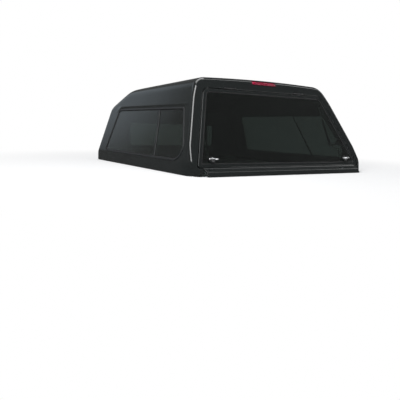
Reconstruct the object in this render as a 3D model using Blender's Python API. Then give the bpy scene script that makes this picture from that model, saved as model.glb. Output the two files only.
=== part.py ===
"""Pickup truck canopy: a one-piece moulded shell with a lift-up glass rear door.

X is to the right, Y towards the cab and Z up, in metres. The rail seal rests on Z = 0.
The rear door lies in a plane that leans towards the cab, and its pieces are laid out
in that plane: x across, v down from the hinge axis and w out of the door.
"""
import math

import bmesh
import bpy
from mathutils import Matrix, Vector

# Shell
BASE_HALF = 0.877
BASE_Z = 0.0043
FRONT_Y = 0.9653
REAR_Y = -0.934
REAR_SLOPE = 0.50
WALL = 0.008
FLANGE_WIDTH = 0.058
FLANGE_THICK = 0.010
LEAN_FROM_Z = 0.085
SIDE_LEAN = 0.345
FLARE = 0.024
FLARE_Z = 0.17
# Roof
ROOF_REAR_Z = 0.751
ROOF_RISE = 0.033
ROOF_BREAK_Y = 0.735
ROOF_BREAK_SLOPE = 0.50
ROOF_BREAK_SOFT = 0.06
ROOF_CROWN = 0.036
ROOF_CORNER = 0.080
LEDGE_Z = 0.508
LEDGE_FRONT_Y = 0.611
LEDGE_REAR_Y = -0.480
LEDGE_OUT = 0.011
# Rounded ends
FRONT_ROUND = 0.050
REAR_ROUND = 0.045
REAR_TAPER = 0.020
REAR_TAPER_Y = -0.757
# Rear opening and door
HINGE_Z = 0.655
DOOR_TOP_HALF = 0.622
DOOR_SPREAD = 0.245
DOOR_TOP_V = 0.008
DOOR_GAP = 0.006
DOOR_FRAME_BOTTOM_V = 0.668
DOOR_FRAME_WIDTH = 0.028
DOOR_FRAME_DEPTH = 0.022
RABBET_DEPTH = 0.030
FRAME_DEPTH = 0.038
LIP_WIDTH = 0.014
# Side windows
WINDOW_SILL_Z = 0.112
WINDOW_TOP_Z = 0.478
WINDOW_FRONT_Y = 0.726
WINDOW_REAR_Y = -0.674
WINDOW_REAR_SLOPE = 0.45
DIVIDER_Y = -0.311
WINDOW_FLANGE = 0.014
WINDOW_SIGHT = 0.024
# Handles and struts
LAMP_HALF = 0.108
LAMP_V = (-0.096, -0.058)
HINGE_X = 0.360
HINGE_HALF = 0.060
HANDLE_X = 0.685
HANDLE_V = 0.604
PAWL_LENGTH = 0.088
STRUT_SHELL = (0.648, 0.440, -0.085)
STRUT_DOOR = (0.597, 0.090, -0.040)
DOOR_OPEN_DEG = 72.0

ALPHA = math.atan(REAR_SLOPE)
BETA = math.atan(SIDE_LEAN)
HINGE = Vector((0.0, REAR_Y + REAR_SLOPE * HINGE_Z, HINGE_Z))


def door_matrix():
    """Turns (x, v, w) of the door plane into the part's frame."""
    down = Vector((0.0, -math.sin(ALPHA), -math.cos(ALPHA)))
    out = Vector((0.0, -math.cos(ALPHA), math.sin(ALPHA)))
    matrix = Matrix.Identity(4)
    for row in range(3):
        matrix[row][0] = (1.0, 0.0, 0.0)[row]
        matrix[row][1] = down[row]
        matrix[row][2] = out[row]
        matrix[row][3] = HINGE[row]
    return matrix


def side_matrix(side):
    """Turns (y, up the side, out of the side) into the part's frame."""
    up = Vector((-side * math.sin(BETA), 0.0, math.cos(BETA)))
    out = Vector((side * math.cos(BETA), 0.0, math.sin(BETA)))
    matrix = Matrix.Identity(4)
    origin = (side * BASE_HALF, 0.0, LEAN_FROM_Z)
    for row in range(3):
        matrix[row][0] = (0.0, 1.0, 0.0)[row]
        matrix[row][1] = up[row]
        matrix[row][2] = out[row]
        matrix[row][3] = origin[row]
    return matrix


def front_matrix():
    """Turns (x, z, out of the front wall) into the part's frame."""
    matrix = Matrix.Identity(4)
    columns = ((1.0, 0.0, 0.0), (0.0, 0.0, 1.0), (0.0, 1.0, 0.0))
    for row in range(3):
        for column in range(3):
            matrix[row][column] = columns[column][row]
    matrix[1][3] = FRONT_Y
    return matrix


# Materials and objects
MATERIALS = {
    "gelcoat": ((0.018, 0.021, 0.021), 0.12, 0.0),
    "black_frame": ((0.02, 0.021, 0.022), 0.35, 0.6),
    "tinted_glass": ((0.015, 0.02, 0.018), 0.04, 0.0),
    "rubber": ((0.012, 0.012, 0.012), 0.8, 0.0),
    "chrome": ((0.75, 0.76, 0.78), 0.12, 1.0),
    "steel": ((0.30, 0.31, 0.32), 0.4, 1.0),
    "red_lens": ((0.45, 0.01, 0.03), 0.15, 0.0),
}


def material(name):
    found = bpy.data.materials.get(name)
    if found:
        return found
    made = bpy.data.materials.new(name)
    made.use_nodes = True
    color, roughness, metallic = MATERIALS[name]
    shader = made.node_tree.nodes["Principled BSDF"]
    shader.inputs["Base Color"].default_value = (*color, 1.0)
    shader.inputs["Roughness"].default_value = roughness
    shader.inputs["Metallic"].default_value = metallic
    return made


def add(name, mesh, slot, parent=None, angle=30.0):
    """Links a mesh as one named sub-part with its own material."""
    obj = bpy.data.objects.new(name, mesh)
    bpy.context.scene.collection.objects.link(obj)
    obj.data.materials.append(material(slot))
    obj.data.shade_smooth()
    obj.data.set_sharp_from_angle(angle=math.radians(angle))
    if parent:
        obj.parent = parent
        obj.matrix_parent_inverse = parent.matrix_world.inverted()
    return obj


def finish_mesh(name, bm, matrix=None):
    if matrix is not None:
        bmesh.ops.transform(bm, matrix=matrix, verts=bm.verts)
    bmesh.ops.recalc_face_normals(bm, faces=bm.faces)
    mesh = bpy.data.meshes.new(name)
    bm.to_mesh(mesh)
    bm.free()
    return mesh


def loft(name, rings, matrix=None, closed=False):
    """Skins equal rings of points; the ends are capped unless the rings close on each other."""
    bm = bmesh.new()
    rows = [[bm.verts.new(p) for p in ring] for ring in rings]
    count = len(rows[0])
    pairs = list(zip(rows, rows[1:]))
    if closed:
        pairs.append((rows[-1], rows[0]))
    for a, b in pairs:
        for i in range(count):
            j = (i + 1) % count
            bm.faces.new((a[i], a[j], b[j], b[i]))
    if not closed:
        bm.faces.new(list(reversed(rows[0])))
        bm.faces.new(rows[-1])
    return finish_mesh(name, bm, matrix)


def prism(name, outline, low, high, matrix=None):
    """Extrudes a flat outline between two heights."""
    rings = [[(x, y, low) for x, y in outline], [(x, y, high) for x, y in outline]]
    return loft(name, rings, matrix)


def box(name, low, high, matrix=None):
    outline = ((low[0], low[1]), (high[0], low[1]), (high[0], high[1]), (low[0], high[1]))
    return prism(name, outline, low[2], high[2], matrix)


def turned(name, profile, axis_point, direction, sides=24, matrix=None):
    """Revolves (along, radius) pairs about an axis."""
    turn = Vector(direction).normalized().to_track_quat("Z", "Y").to_matrix().to_4x4()
    place = Matrix.Translation(Vector(axis_point)) @ turn
    rings = []
    for along, radius in profile:
        ring = []
        for i in range(sides):
            angle = 2.0 * math.pi * i / sides
            ring.append(place @ Vector((radius * math.cos(angle), radius * math.sin(angle), along)))
        rings.append(ring)
    return loft(name, rings, matrix)


def tube_ring(name, inner, outer, low, high, axis_point, direction, sides=24, matrix=None):
    """A washer: a ring with a hole along its axis."""
    turn = Vector(direction).normalized().to_track_quat("Z", "Y").to_matrix().to_4x4()
    place = Matrix.Translation(Vector(axis_point)) @ turn
    rings = []
    for i in range(sides):
        angle = 2.0 * math.pi * i / sides
        c, s = math.cos(angle), math.sin(angle)
        section = ((inner, low), (outer, low), (outer, high), (inner, high))
        rings.append([place @ Vector((r * c, r * s, h)) for r, h in section])
    return loft(name, rings, matrix, closed=True)


def inset_corners(corners, distances):
    """Moves each edge of a counter-clockwise polygon inwards by its own distance."""
    count = len(corners)
    lines = []
    for i in range(count):
        a = Vector(corners[i])
        b = Vector(corners[(i + 1) % count])
        along = (b - a).normalized()
        normal = Vector((-along.y, along.x))
        lines.append((a + normal * distances[i], along))
    moved = []
    for i in range(count):
        p, d = lines[i - 1]
        q, e = lines[i]
        cross = d.x * e.y - d.y * e.x
        t = ((q.x - p.x) * e.y - (q.y - p.y) * e.x) / cross
        moved.append(tuple(p + d * t))
    return moved


def rounded(corners, radii, steps=5):
    """Replaces each corner by an arc of its own radius, always with the same point count."""
    points = []
    count = len(corners)
    for i in range(count):
        here = Vector(corners[i])
        back = (Vector(corners[i - 1]) - here).normalized()
        ahead = (Vector(corners[(i + 1) % count]) - here).normalized()
        half = math.acos(max(-1.0, min(1.0, back.dot(ahead)))) / 2.0
        radius = max(radii[i], 0.0005)
        reach = radius / math.tan(half)
        centre = here + (back + ahead).normalized() * (radius / math.sin(half))
        start = here + back * reach - centre
        end = here + ahead * reach - centre
        sweep = start.angle_signed(end)
        for k in range(steps + 1):
            turn = Matrix.Rotation(-sweep * k / steps, 2)
            points.append(tuple(centre + turn @ start))
    return points


def outline(corners, inset, radius, steps=5):
    """A rounded outline moved inwards, so that nested outlines stay parallel."""
    moved = inset_corners(corners, [inset] * len(corners))
    radii = [max(r - inset, 0.002) for r in radius]
    return rounded(moved, radii, steps)


def ring_sweep(name, corners, radius, profile, matrix, steps=5):
    """Carries a closed (inset, height) profile round an outline, as an extruded frame is bent."""
    loops = []
    for inset, height in profile:
        loops.append([(x, y, height) for x, y in outline(corners, inset, radius, steps)])
    rings = [[loop[i] for loop in loops] for i in range(len(loops[0]))]
    return loft(name, rings, matrix, closed=True)


def cut(obj, mesh, operation="DIFFERENCE"):
    """Applies a Boolean with a guide object that stays hidden."""
    guide = bpy.data.objects.new(mesh.name, mesh)
    bpy.context.scene.collection.objects.link(guide)
    guide.hide_render = True
    guide.display_type = "WIRE"
    guide.hide_set(True)
    modifier = obj.modifiers.new(mesh.name, "BOOLEAN")
    modifier.operation = operation
    modifier.solver = "EXACT"
    modifier.object = guide
    return modifier


def join(obj, *meshes):
    for mesh in meshes:
        cut(obj, mesh, "UNION")
    return obj


# Shell form
def roof_z(y):
    """Height of the roof's centre line."""
    past = y - ROOF_BREAK_Y
    soft = 0.5 * (past + math.sqrt(past * past + ROOF_BREAK_SOFT * ROOF_BREAK_SOFT))
    return ROOF_REAR_Z - ROOF_RISE * (y - (REAR_Y + REAR_SLOPE * ROOF_REAR_Z)) - ROOF_BREAK_SLOPE * soft


def smooth(value):
    value = max(0.0, min(1.0, value))
    return value * value * (3.0 - 2.0 * value)


def half_section(top_z, y_top, base_z, outer):
    """The right half of a cross-section from the rail up to the roof's centre, as (x, z)."""
    ledge = smooth((LEDGE_FRONT_Y - y_top) / 0.14) * smooth((y_top - LEDGE_REAR_Y) / 0.10) if outer else 0.0
    lean_x = BASE_HALF - SIDE_LEAN * (top_z - LEAN_FROM_Z)
    corner_x, corner_z = lean_x, top_z
    for _ in range(6):
        corner_z = top_z - ROOF_CROWN * (corner_x / 0.66) ** 2
        corner_x = BASE_HALF - SIDE_LEAN * (corner_z - LEAN_FROM_Z)
    corner = Vector((corner_x, corner_z))
    side_dir = Vector((SIDE_LEAN, -1.0)).normalized()
    low = corner + side_dir * ROOF_CORNER
    roof_x = corner_x - ROOF_CORNER
    high = Vector((roof_x, top_z - ROOF_CROWN * (roof_x / 0.66) ** 2))
    points = [(BASE_HALF, base_z), (BASE_HALF, LEAN_FROM_Z - 0.02)]
    points.append((BASE_HALF - SIDE_LEAN * 0.004, LEAN_FROM_Z))
    points.append((BASE_HALF - SIDE_LEAN * 0.02, LEAN_FROM_Z + 0.02))
    reach = low.y - LEAN_FROM_Z
    marks = (
        (LEDGE_Z - 0.009, 0.0, 0.86),
        (LEDGE_Z, 1.0, 0.89),
        (LEDGE_Z + 0.010, 0.95, 0.92),
        (LEDGE_Z + 0.035, 0.35, 0.96),
    )
    for z_mark, out, share in marks:
        z = min(z_mark, LEAN_FROM_Z + reach * share)
        x = BASE_HALF - SIDE_LEAN * (z - LEAN_FROM_Z) + LEDGE_OUT * out * ledge
        points.append((x, z))
    for k in range(6):
        t = k / 5.0
        p = low * (1.0 - t) ** 2 + corner * 2.0 * t * (1.0 - t) + high * t * t
        points.append((p.x, p.y))
    for k in range(1, 5):
        x = roof_x * (1.0 - k / 4.0)
        points.append((x, top_z - ROOF_CROWN * (x / 0.66) ** 2))
    return points


def offset_section(points, inset):
    """Moves the half-section inwards along its own normals."""
    if inset == 0.0:
        return points
    moved = []
    for i, point in enumerate(points):
        here = Vector(point)
        before = Vector(points[i - 1]) if i else here - Vector((0.0, 0.01))
        after = Vector(points[i + 1]) if i + 1 < len(points) else here + Vector((-0.01, 0.0))
        first = (here - before).normalized()
        second = (after - here).normalized()
        one = Vector((-first.y, first.x))
        two = Vector((-second.y, second.x))
        bisector = (one + two).normalized()
        moved.append(tuple(here + bisector * (inset / max(bisector.dot(one), 0.5))))
    return moved


def station(share, back, inset, base_z, outer):
    """One full cross-section, right side to left, in a plane that leans more towards the rear."""
    slope = REAR_SLOPE * share
    y_base = FRONT_Y + (REAR_Y - FRONT_Y) * share + back
    top = ROOF_REAR_Z
    for _ in range(5):
        top = roof_z(y_base + slope * top)
    half = offset_section(half_section(top, y_base + slope * top, base_z, outer), inset)
    pull = FLARE * smooth((share - 0.93) / 0.07) if outer else 0.0
    points = []
    for x, z in half:
        bend = max(0.0, 1.0 - z / FLARE_Z) ** 2
        y = y_base + slope * z - pull * bend
        narrow = 1.0 - REAR_TAPER / BASE_HALF * smooth((REAR_TAPER_Y - y + REAR_SLOPE * z) / 0.20)
        points.append(Vector((x * narrow, y, z)))
    left = [Vector((-p.x, p.y, p.z)) for p in reversed(points[:-1])]
    return points + left


def shell_body(name, inset, base_z, front_gap, rear_gap):
    """The moulding's outer form, or its hollow when it is inset, with rounded front and rear edges."""
    outer = inset == 0.0
    front_round = max(FRONT_ROUND - inset, 0.004)
    rear_round = max(REAR_ROUND - inset, 0.004)
    stations = []
    for k in range(6):
        angle = math.radians(90.0 - 18.0 * k)
        back = -(front_gap + front_round * (1.0 - math.sin(angle)))
        stations.append((0.0, back, inset + front_round * (1.0 - math.cos(angle))))
    for share in (0.055, 0.085, 0.115, 0.145, 0.175, 0.21, 0.26, 0.50, 0.74, 0.79, 0.84, 0.90, 0.93, 0.955):
        if share < 0.92 or outer:
            stations.append((share, 0.0, inset))
    for k in range(6):
        angle = math.radians(18.0 * k)
        back = (rear_gap + rear_round * (1.0 - math.sin(angle))) / math.cos(ALPHA)
        stations.append((1.0, back, inset + rear_round * (1.0 - math.cos(angle))))
    stations = [stations[5 - k] if k < 6 else s for k, s in enumerate(stations)]
    stations = sorted(stations[:6], key=lambda s: -s[1]) + stations[6:]
    bm = bmesh.new()
    rows = [[bm.verts.new(p) for p in station(*s, base_z, outer)] for s in stations]
    count = len(rows[0])
    for a, b in zip(rows, rows[1:]):
        for i in range(count - 1):
            bm.faces.new((a[i], a[i + 1], b[i + 1], b[i]))
    bm.faces.new(rows[0])
    rear = rows[-1]
    straight = 8
    for i in range(straight):
        j = count - 1 - i
        bm.faces.new((rear[i], rear[i + 1], rear[j - 1], rear[j]))
    bm.faces.new(rear[straight:count - straight])
    bm.faces.new([row[0] for row in rows] + [row[-1] for row in reversed(rows)])
    return finish_mesh(name, bm)


def door_half(v):
    return DOOR_TOP_HALF + DOOR_SPREAD * v


def door_corners(v_top, v_bottom, grow=0.0):
    """The door's outline in its plane, counter-clockwise, made larger by grow."""
    corners = [(-door_half(v_top), v_top), (door_half(v_top), v_top), (door_half(v_bottom), v_bottom), (-door_half(v_bottom), v_bottom)]
    return inset_corners(corners, [-grow] * 4)


def window_corners(extra=0.0):
    """A side window's outline in the side's plane: front and sill square, rear edge raked."""
    def up(z):
        return (z - LEAN_FROM_Z) / math.cos(BETA)
    low, high = up(WINDOW_SILL_Z), up(WINDOW_TOP_Z)
    rise = WINDOW_TOP_Z - WINDOW_SILL_Z
    corners = [(WINDOW_REAR_Y, low), (WINDOW_FRONT_Y, low), (WINDOW_FRONT_Y - 0.02, high), (WINDOW_REAR_Y + WINDOW_REAR_SLOPE * rise, high)]
    return inset_corners(corners, [extra] * 4)


WINDOW_RADII = (0.045, 0.045, 0.060, 0.060)
FRONT_WINDOW = [(-0.540, 0.115), (0.540, 0.115), (0.540, 0.400), (-0.540, 0.400)]
FRONT_RADII = (0.050, 0.050, 0.050, 0.050)
DOOR_RADII = (0.075, 0.075, 0.025, 0.025)


def build_shell():
    body = shell_body("shell_form", 0.0, BASE_Z, 0.0, 0.0)
    shell = add("shell", body, "gelcoat")
    hollow = shell_body("shell_hollow", WALL, BASE_Z + FLANGE_THICK, WALL, FRAME_DEPTH)
    cut(shell, hollow)
    inner_x = BASE_HALF - FLANGE_WIDTH
    well = [(-inner_x, REAR_Y - 0.30), (inner_x, REAR_Y - 0.30), (inner_x, FRONT_Y - FLANGE_WIDTH), (-inner_x, FRONT_Y - FLANGE_WIDTH)]
    cut(shell, prism("bed_opening", rounded(well, (0.002, 0.002, 0.05, 0.05)), -0.05, BASE_Z + FLANGE_THICK + 0.004))
    place = door_matrix()
    seat = outline(door_corners(DOOR_TOP_V, 0.86, DOOR_GAP), 0.0, DOOR_RADII, 6)
    cut(shell, prism("door_seat", seat, -RABBET_DEPTH, 0.12, place))
    way = outline(door_corners(DOOR_TOP_V, 0.86, DOOR_GAP - LIP_WIDTH - DOOR_GAP), 0.0, DOOR_RADII, 6)
    cut(shell, prism("door_way", way, -0.13, 0.13, place))
    for side, word in ((-1, "left"), (1, "right")):
        hole = outline(window_corners(), WINDOW_FLANGE + 0.0005, WINDOW_RADII)
        cut(shell, prism(word + "_window_hole", hole, -0.04, 0.04, side_matrix(side)))
    hole = outline(FRONT_WINDOW, WINDOW_FLANGE + 0.0005, FRONT_RADII)
    cut(shell, prism("front_window_hole", hole, -0.04, 0.04, front_matrix()))
    for side in (-1, 1):
        x, reach = side * HINGE_X, HINGE_HALF + 0.0025
        cut(shell, box("hinge_pocket_%d" % (side + 2), (x - reach, -0.012, -0.0105), (x + reach, 0.012, 0.03), place))
    low, high = LAMP_V
    cut(shell, box("lamp_pocket", (-LAMP_HALF - 0.0005, low - 0.0005, -0.024), (LAMP_HALF + 0.0005, high + 0.0005, 0.05), place))
    return shell


def build_window(word, corners, radii, matrix, divider=None):
    """Clamped window: outer frame through the wall, clamp ring inside, gasket and panes."""
    web = WINDOW_FLANGE + 0.0008
    sight = WINDOW_SIGHT
    frame = [(0.0, 0.0003), (0.0, 0.0022), (0.004, 0.0045), (sight - 0.002, 0.0045), (sight, 0.003), (sight, -0.012), (web, -0.012), (web, 0.0003)]
    add(word + "_window_frame", ring_sweep(word + "_window_frame", corners, radii, frame, matrix), "black_frame")
    clamp = [(-0.002, -WALL - 0.0003), (web - 0.0005, -WALL - 0.0003), (web - 0.0005, -0.0125), (0.001, -0.0125)]
    add(word + "_window_clamp", ring_sweep(word + "_window_clamp", corners, radii, clamp, matrix), "black_frame")
    gasket = [(sight + 0.0003, 0.0015), (sight + 0.0065, 0.0005), (sight + 0.0065, -0.0095), (sight + 0.0003, -0.0105)]
    add(word + "_window_gasket", ring_sweep(word + "_window_gasket", corners, radii, gasket, matrix), "rubber")
    edge = sight + 0.0068
    if divider is None:
        pane = outline(corners, edge, radii)
        add(word + "_window_glass", prism(word + "_window_glass", pane, -0.006, -0.002, matrix), "tinted_glass")
        return
    low, high = corners[0][1], corners[2][1]
    slant = WINDOW_REAR_SLOPE * math.cos(BETA)
    foot = Vector((divider, low))
    head = Vector((divider + slant * (high - low), high))
    bar_half = 0.012

    def strip(y_rear, y_front):
        """The part of the window between two raked lines."""
        shape = [tuple(foot + Vector((y_rear, 0.0))), tuple(foot + Vector((y_front, 0.0))),
                 tuple(head + Vector((y_front, 0.0))), tuple(head + Vector((y_rear, 0.0)))]
        return inset_corners(shape, [edge, 0.0, edge, 0.0])

    bar = strip(-bar_half, bar_half)
    add(word + "_window_divider", prism(word + "_window_divider", bar, -0.0095, 0.001, matrix), "black_frame")
    gap = 0.0006
    front = [tuple(foot + Vector((bar_half, 0.0))), corners[1], corners[2], tuple(head + Vector((bar_half, 0.0)))]
    front = inset_corners(front, [edge, edge, edge, gap])
    front = rounded(front, (0.002, radii[1] - edge, radii[2] - edge, 0.002))
    add(word + "_front_pane", prism(word + "_front_pane", front, -0.006, -0.002, matrix), "tinted_glass")
    rear = [corners[0], tuple(foot + Vector((-bar_half, 0.0))), tuple(head + Vector((-bar_half, 0.0))), corners[3]]
    rear = inset_corners(rear, [edge, gap, edge, edge])
    rear = rounded(rear, (radii[0] - edge, 0.002, 0.002, radii[3] - edge))
    add(word + "_slider_pane", prism(word + "_slider_pane", rear, -0.0085, -0.0045, matrix), "tinted_glass")


def build_seals():
    outer_x, inner_x = BASE_HALF - 0.010, BASE_HALF - 0.048
    outer_y, inner_y, rear_y = FRONT_Y - 0.010, FRONT_Y - 0.048, REAR_Y + 0.03
    shape = [(-outer_x, rear_y), (-inner_x, rear_y), (-inner_x, inner_y), (inner_x, inner_y), (inner_x, rear_y), (outer_x, rear_y)]
    shape += rounded([(outer_x, rear_y), (outer_x, outer_y), (-outer_x, outer_y), (-outer_x, rear_y)], (0.0, 0.045, 0.045, 0.0))[6:18]
    add("rail_seal", prism("rail_seal", shape, 0.0, BASE_Z - 0.0003), "rubber")
    place = door_matrix()
    low = -RABBET_DEPTH + 0.0003
    profile = [(0.0, low), (0.008, low), (0.008, low + 0.0018), (0.004, low + 0.0027), (0.0, low + 0.0018)]
    corners = door_corners(DOOR_TOP_V, 0.700, -0.003)
    loops = []
    for inset, height in profile:
        full = outline(corners, inset, (0.072, 0.072, 0.002, 0.002), 6)
        run = full[14:] + full[:14]
        loops.append([(x, y, height) for x, y in run[7:] + run[:7]])
    order = [[loop[i] for loop in loops] for i in range(len(loops[0]))]
    order = [r for r in order if r[0][1] < 0.69]
    left = [r for r in order if r[0][0] < 0.0]
    right = [r for r in order if r[0][0] >= 0.0]
    left.sort(key=lambda r: (-round(r[0][1], 4), r[0][0]))
    right.sort(key=lambda r: (round(r[0][1], 4), r[0][0]))
    def foot(side):
        ring = []
        for inset, height in profile:
            base = inset_corners(corners, [inset] * 4)
            a, b = Vector(base[1]), Vector(base[2])
            t = (0.690 - a.y) / (b.y - a.y)
            ring.append((side * (a.x + (b.x - a.x) * t), 0.690, height))
        return ring
    add("door_seal", loft("door_seal", [foot(-1)] + left + right + [foot(1)], place), "rubber")


def facing(point, axis):
    """A frame at a point with its Z along an axis."""
    return Matrix.Translation(point) @ axis.to_track_quat("Z", "Y").to_matrix().to_4x4()


def pivot(name, matrix, parent=None):
    empty = bpy.data.objects.new(name, None)
    bpy.context.scene.collection.objects.link(empty)
    if parent:
        empty.parent = parent
        empty.matrix_parent_inverse = parent.matrix_world.inverted()
    empty.matrix_world = matrix
    bpy.context.view_layer.update()
    return empty


def build_door():
    place = door_matrix()
    hinge = pivot("rear_door_pivot", facing(HINGE, Vector((-1.0, 0.0, 0.0))))
    corners = door_corners(DOOR_TOP_V, DOOR_FRAME_BOTTOM_V)
    width, depth = DOOR_FRAME_WIDTH, DOOR_FRAME_DEPTH
    frame = [(0.0, -depth), (0.0, -0.003), (0.003, 0.0), (width - 0.003, 0.0), (width, -0.003), (width, -depth)]
    add("door_frame", ring_sweep("door_frame", corners, DOOR_RADII, frame, place, 6), "gelcoat", hinge)
    gasket = [(width + 0.0003, -0.002), (width + 0.005, -0.001), (width + 0.008, -0.003), (width + 0.008, -0.011), (width + 0.0003, -0.012)]
    add("door_gasket", ring_sweep("door_gasket", corners, DOOR_RADII, gasket, place, 6), "rubber", hinge)
    pane = outline(corners, width + 0.0083, DOOR_RADII, 6)
    glass = add("door_glass", prism("door_glass", pane, -0.009, -0.004, place), "tinted_glass", hinge)
    for side in (-1, 1):
        hole = turned("handle_hole_%d" % (side + 2), ((-0.03, 0.0085), (0.03, 0.0085)), (side * HANDLE_X, HANDLE_V, 0.0), (0, 0, 1), 24, place)
        cut(glass, hole)
    top = DOOR_FRAME_BOTTOM_V + 0.0003
    skirt = [(top, -0.0005), (top + 0.008, 0.003), (top + 0.018, 0.011), (top + 0.028, 0.024), (top + 0.040, 0.033), (top + 0.066, 0.039),
             (top + 0.066, 0.031), (top + 0.043, 0.025), (top + 0.033, 0.014), (top + 0.024, 0.000), (top + 0.014, -0.012), (top, -depth)]
    rings = [[(side * (door_half(v) - 0.0005), v, w) for v, w in skirt] for side in (-1, 1)]
    add("door_skirt", loft("door_skirt", rings, place), "gelcoat", hinge)
    lip = [(top + 0.0663, 0.037), (top + 0.0663, 0.031), (top + 0.069, 0.031), (top + 0.069, 0.037)]
    rings = [[(side * (door_half(v) - 0.012), v, w) for v, w in lip] for side in (-1, 1)]
    add("tailgate_seal", loft("tailgate_seal", rings, place), "rubber", hinge)
    return hinge, place


def build_hinges(hinge, place):
    """Two knuckle hinges in the gap over the door: the pin is fixed in the shell's knuckles
    and turns in the door's."""
    for side, word in ((-1, "left"), (1, "right")):
        x = side * HINGE_X
        half, mid = HINGE_HALF, HINGE_HALF / 3.0
        knuckle = tube_ring(word + "_door_knuckle", 0.0026, 0.0045, -mid, mid, (x, 0.0, 0.0), (1, 0, 0), 16, place)
        leaf = add(word + "_hinge_door_leaf", knuckle, "black_frame", hinge)
        join(leaf, box(word + "_door_leaf_plate", (x - mid, 0.0034, -0.0040), (x + mid, 0.0077, -0.0004), place))
        barrel = [(-half, 0.0001), (-half, 0.0045), (-mid - 0.0005, 0.0045), (-mid - 0.0005, 0.0021),
                  (mid + 0.0005, 0.0021), (mid + 0.0005, 0.0045), (half, 0.0045), (half, 0.0001)]
        pin = turned(word + "_hinge_pin", barrel, (x, 0.0, 0.0), (1, 0, 0), 16, place)
        leaf = add(word + "_hinge_shell_leaf", pin, "black_frame")
        join(leaf, box(word + "_shell_leaf_plate", (x - half, -0.0116, -0.0090), (x + half, -0.0053, -0.0010), place))
        for low, high in ((-half, -mid - 0.0005), (mid + 0.0005, half)):
            tag = "%s_knuckle_web_%d" % (word, low > 0)
            join(leaf, box(tag, (x + low, -0.0070, -0.0034), (x + high, -0.0030, -0.0012), place))


def build_handle(side, word, hinge, place):
    centre = (side * HANDLE_X, HANDLE_V, 0.0)
    plate = tube_ring(word + "_escutcheon", 0.0070, 0.0260, -0.0037, 0.0040, centre, (0, 0, 1), 28, place)
    add(word + "_handle_escutcheon", plate, "black_frame", hinge)
    out = Vector((0.0, -math.cos(ALPHA), math.sin(ALPHA)))
    knob = pivot(word + "_handle_pivot", facing(place @ Vector(centre), out), hinge)
    shaft = [(-0.0435, 0.0001), (-0.0435, 0.0058), (0.0065, 0.0058), (0.0065, 0.0160), (0.0120, 0.0120), (0.0200, 0.0090), (0.0200, 0.0001)]
    body = turned(word + "_handle_stem", shaft, centre, (0, 0, 1), 20, place)
    handle = add(word + "_handle", body, "chrome", knob)
    bar = []
    for k in range(9):
        along = -0.048 + 0.012 * k
        size = 0.0075 - 0.0025 * (along / 0.048) ** 2
        ring = []
        for i in range(12):
            angle = 2.0 * math.pi * i / 12
            ring.append((centre[0] + along, centre[1] + 1.15 * size * math.cos(angle), 0.0195 + size * math.sin(angle)))
        bar.append(ring)
    join(handle, loft(word + "_handle_bar", bar, place))
    tip = PAWL_LENGTH
    pawl_shape = [(-0.011, 0.011), (0.011, 0.011), (0.011, -tip * 0.55), (0.009, -tip), (-0.009, -tip), (-0.011, -tip * 0.55)]
    shape = [(centre[0] + x, centre[1] + y) for x, y in rounded(pawl_shape, (0.008, 0.008, 0.02, 0.004, 0.004, 0.02), 3)]
    pawl = add(word + "_pawl", prism(word + "_pawl", shape, -0.0485, -0.0438, place), "steel", knob)
    return handle, pawl


def strut_points(side):
    place = door_matrix()
    foot = place @ Vector((side * STRUT_SHELL[0], STRUT_SHELL[1], STRUT_SHELL[2]))
    head = place @ Vector((side * STRUT_DOOR[0], STRUT_DOOR[1], STRUT_DOOR[2]))
    return foot, head


def block(name, side, low, high, matrix):
    """A box given for the right side and mirrored for the left."""
    a = (side * low[0], low[1], low[2])
    b = (side * high[0], high[1], high[2])
    return box(name, tuple(min(p, q) for p, q in zip(a, b)), tuple(max(p, q) for p, q in zip(a, b)), matrix)


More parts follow.
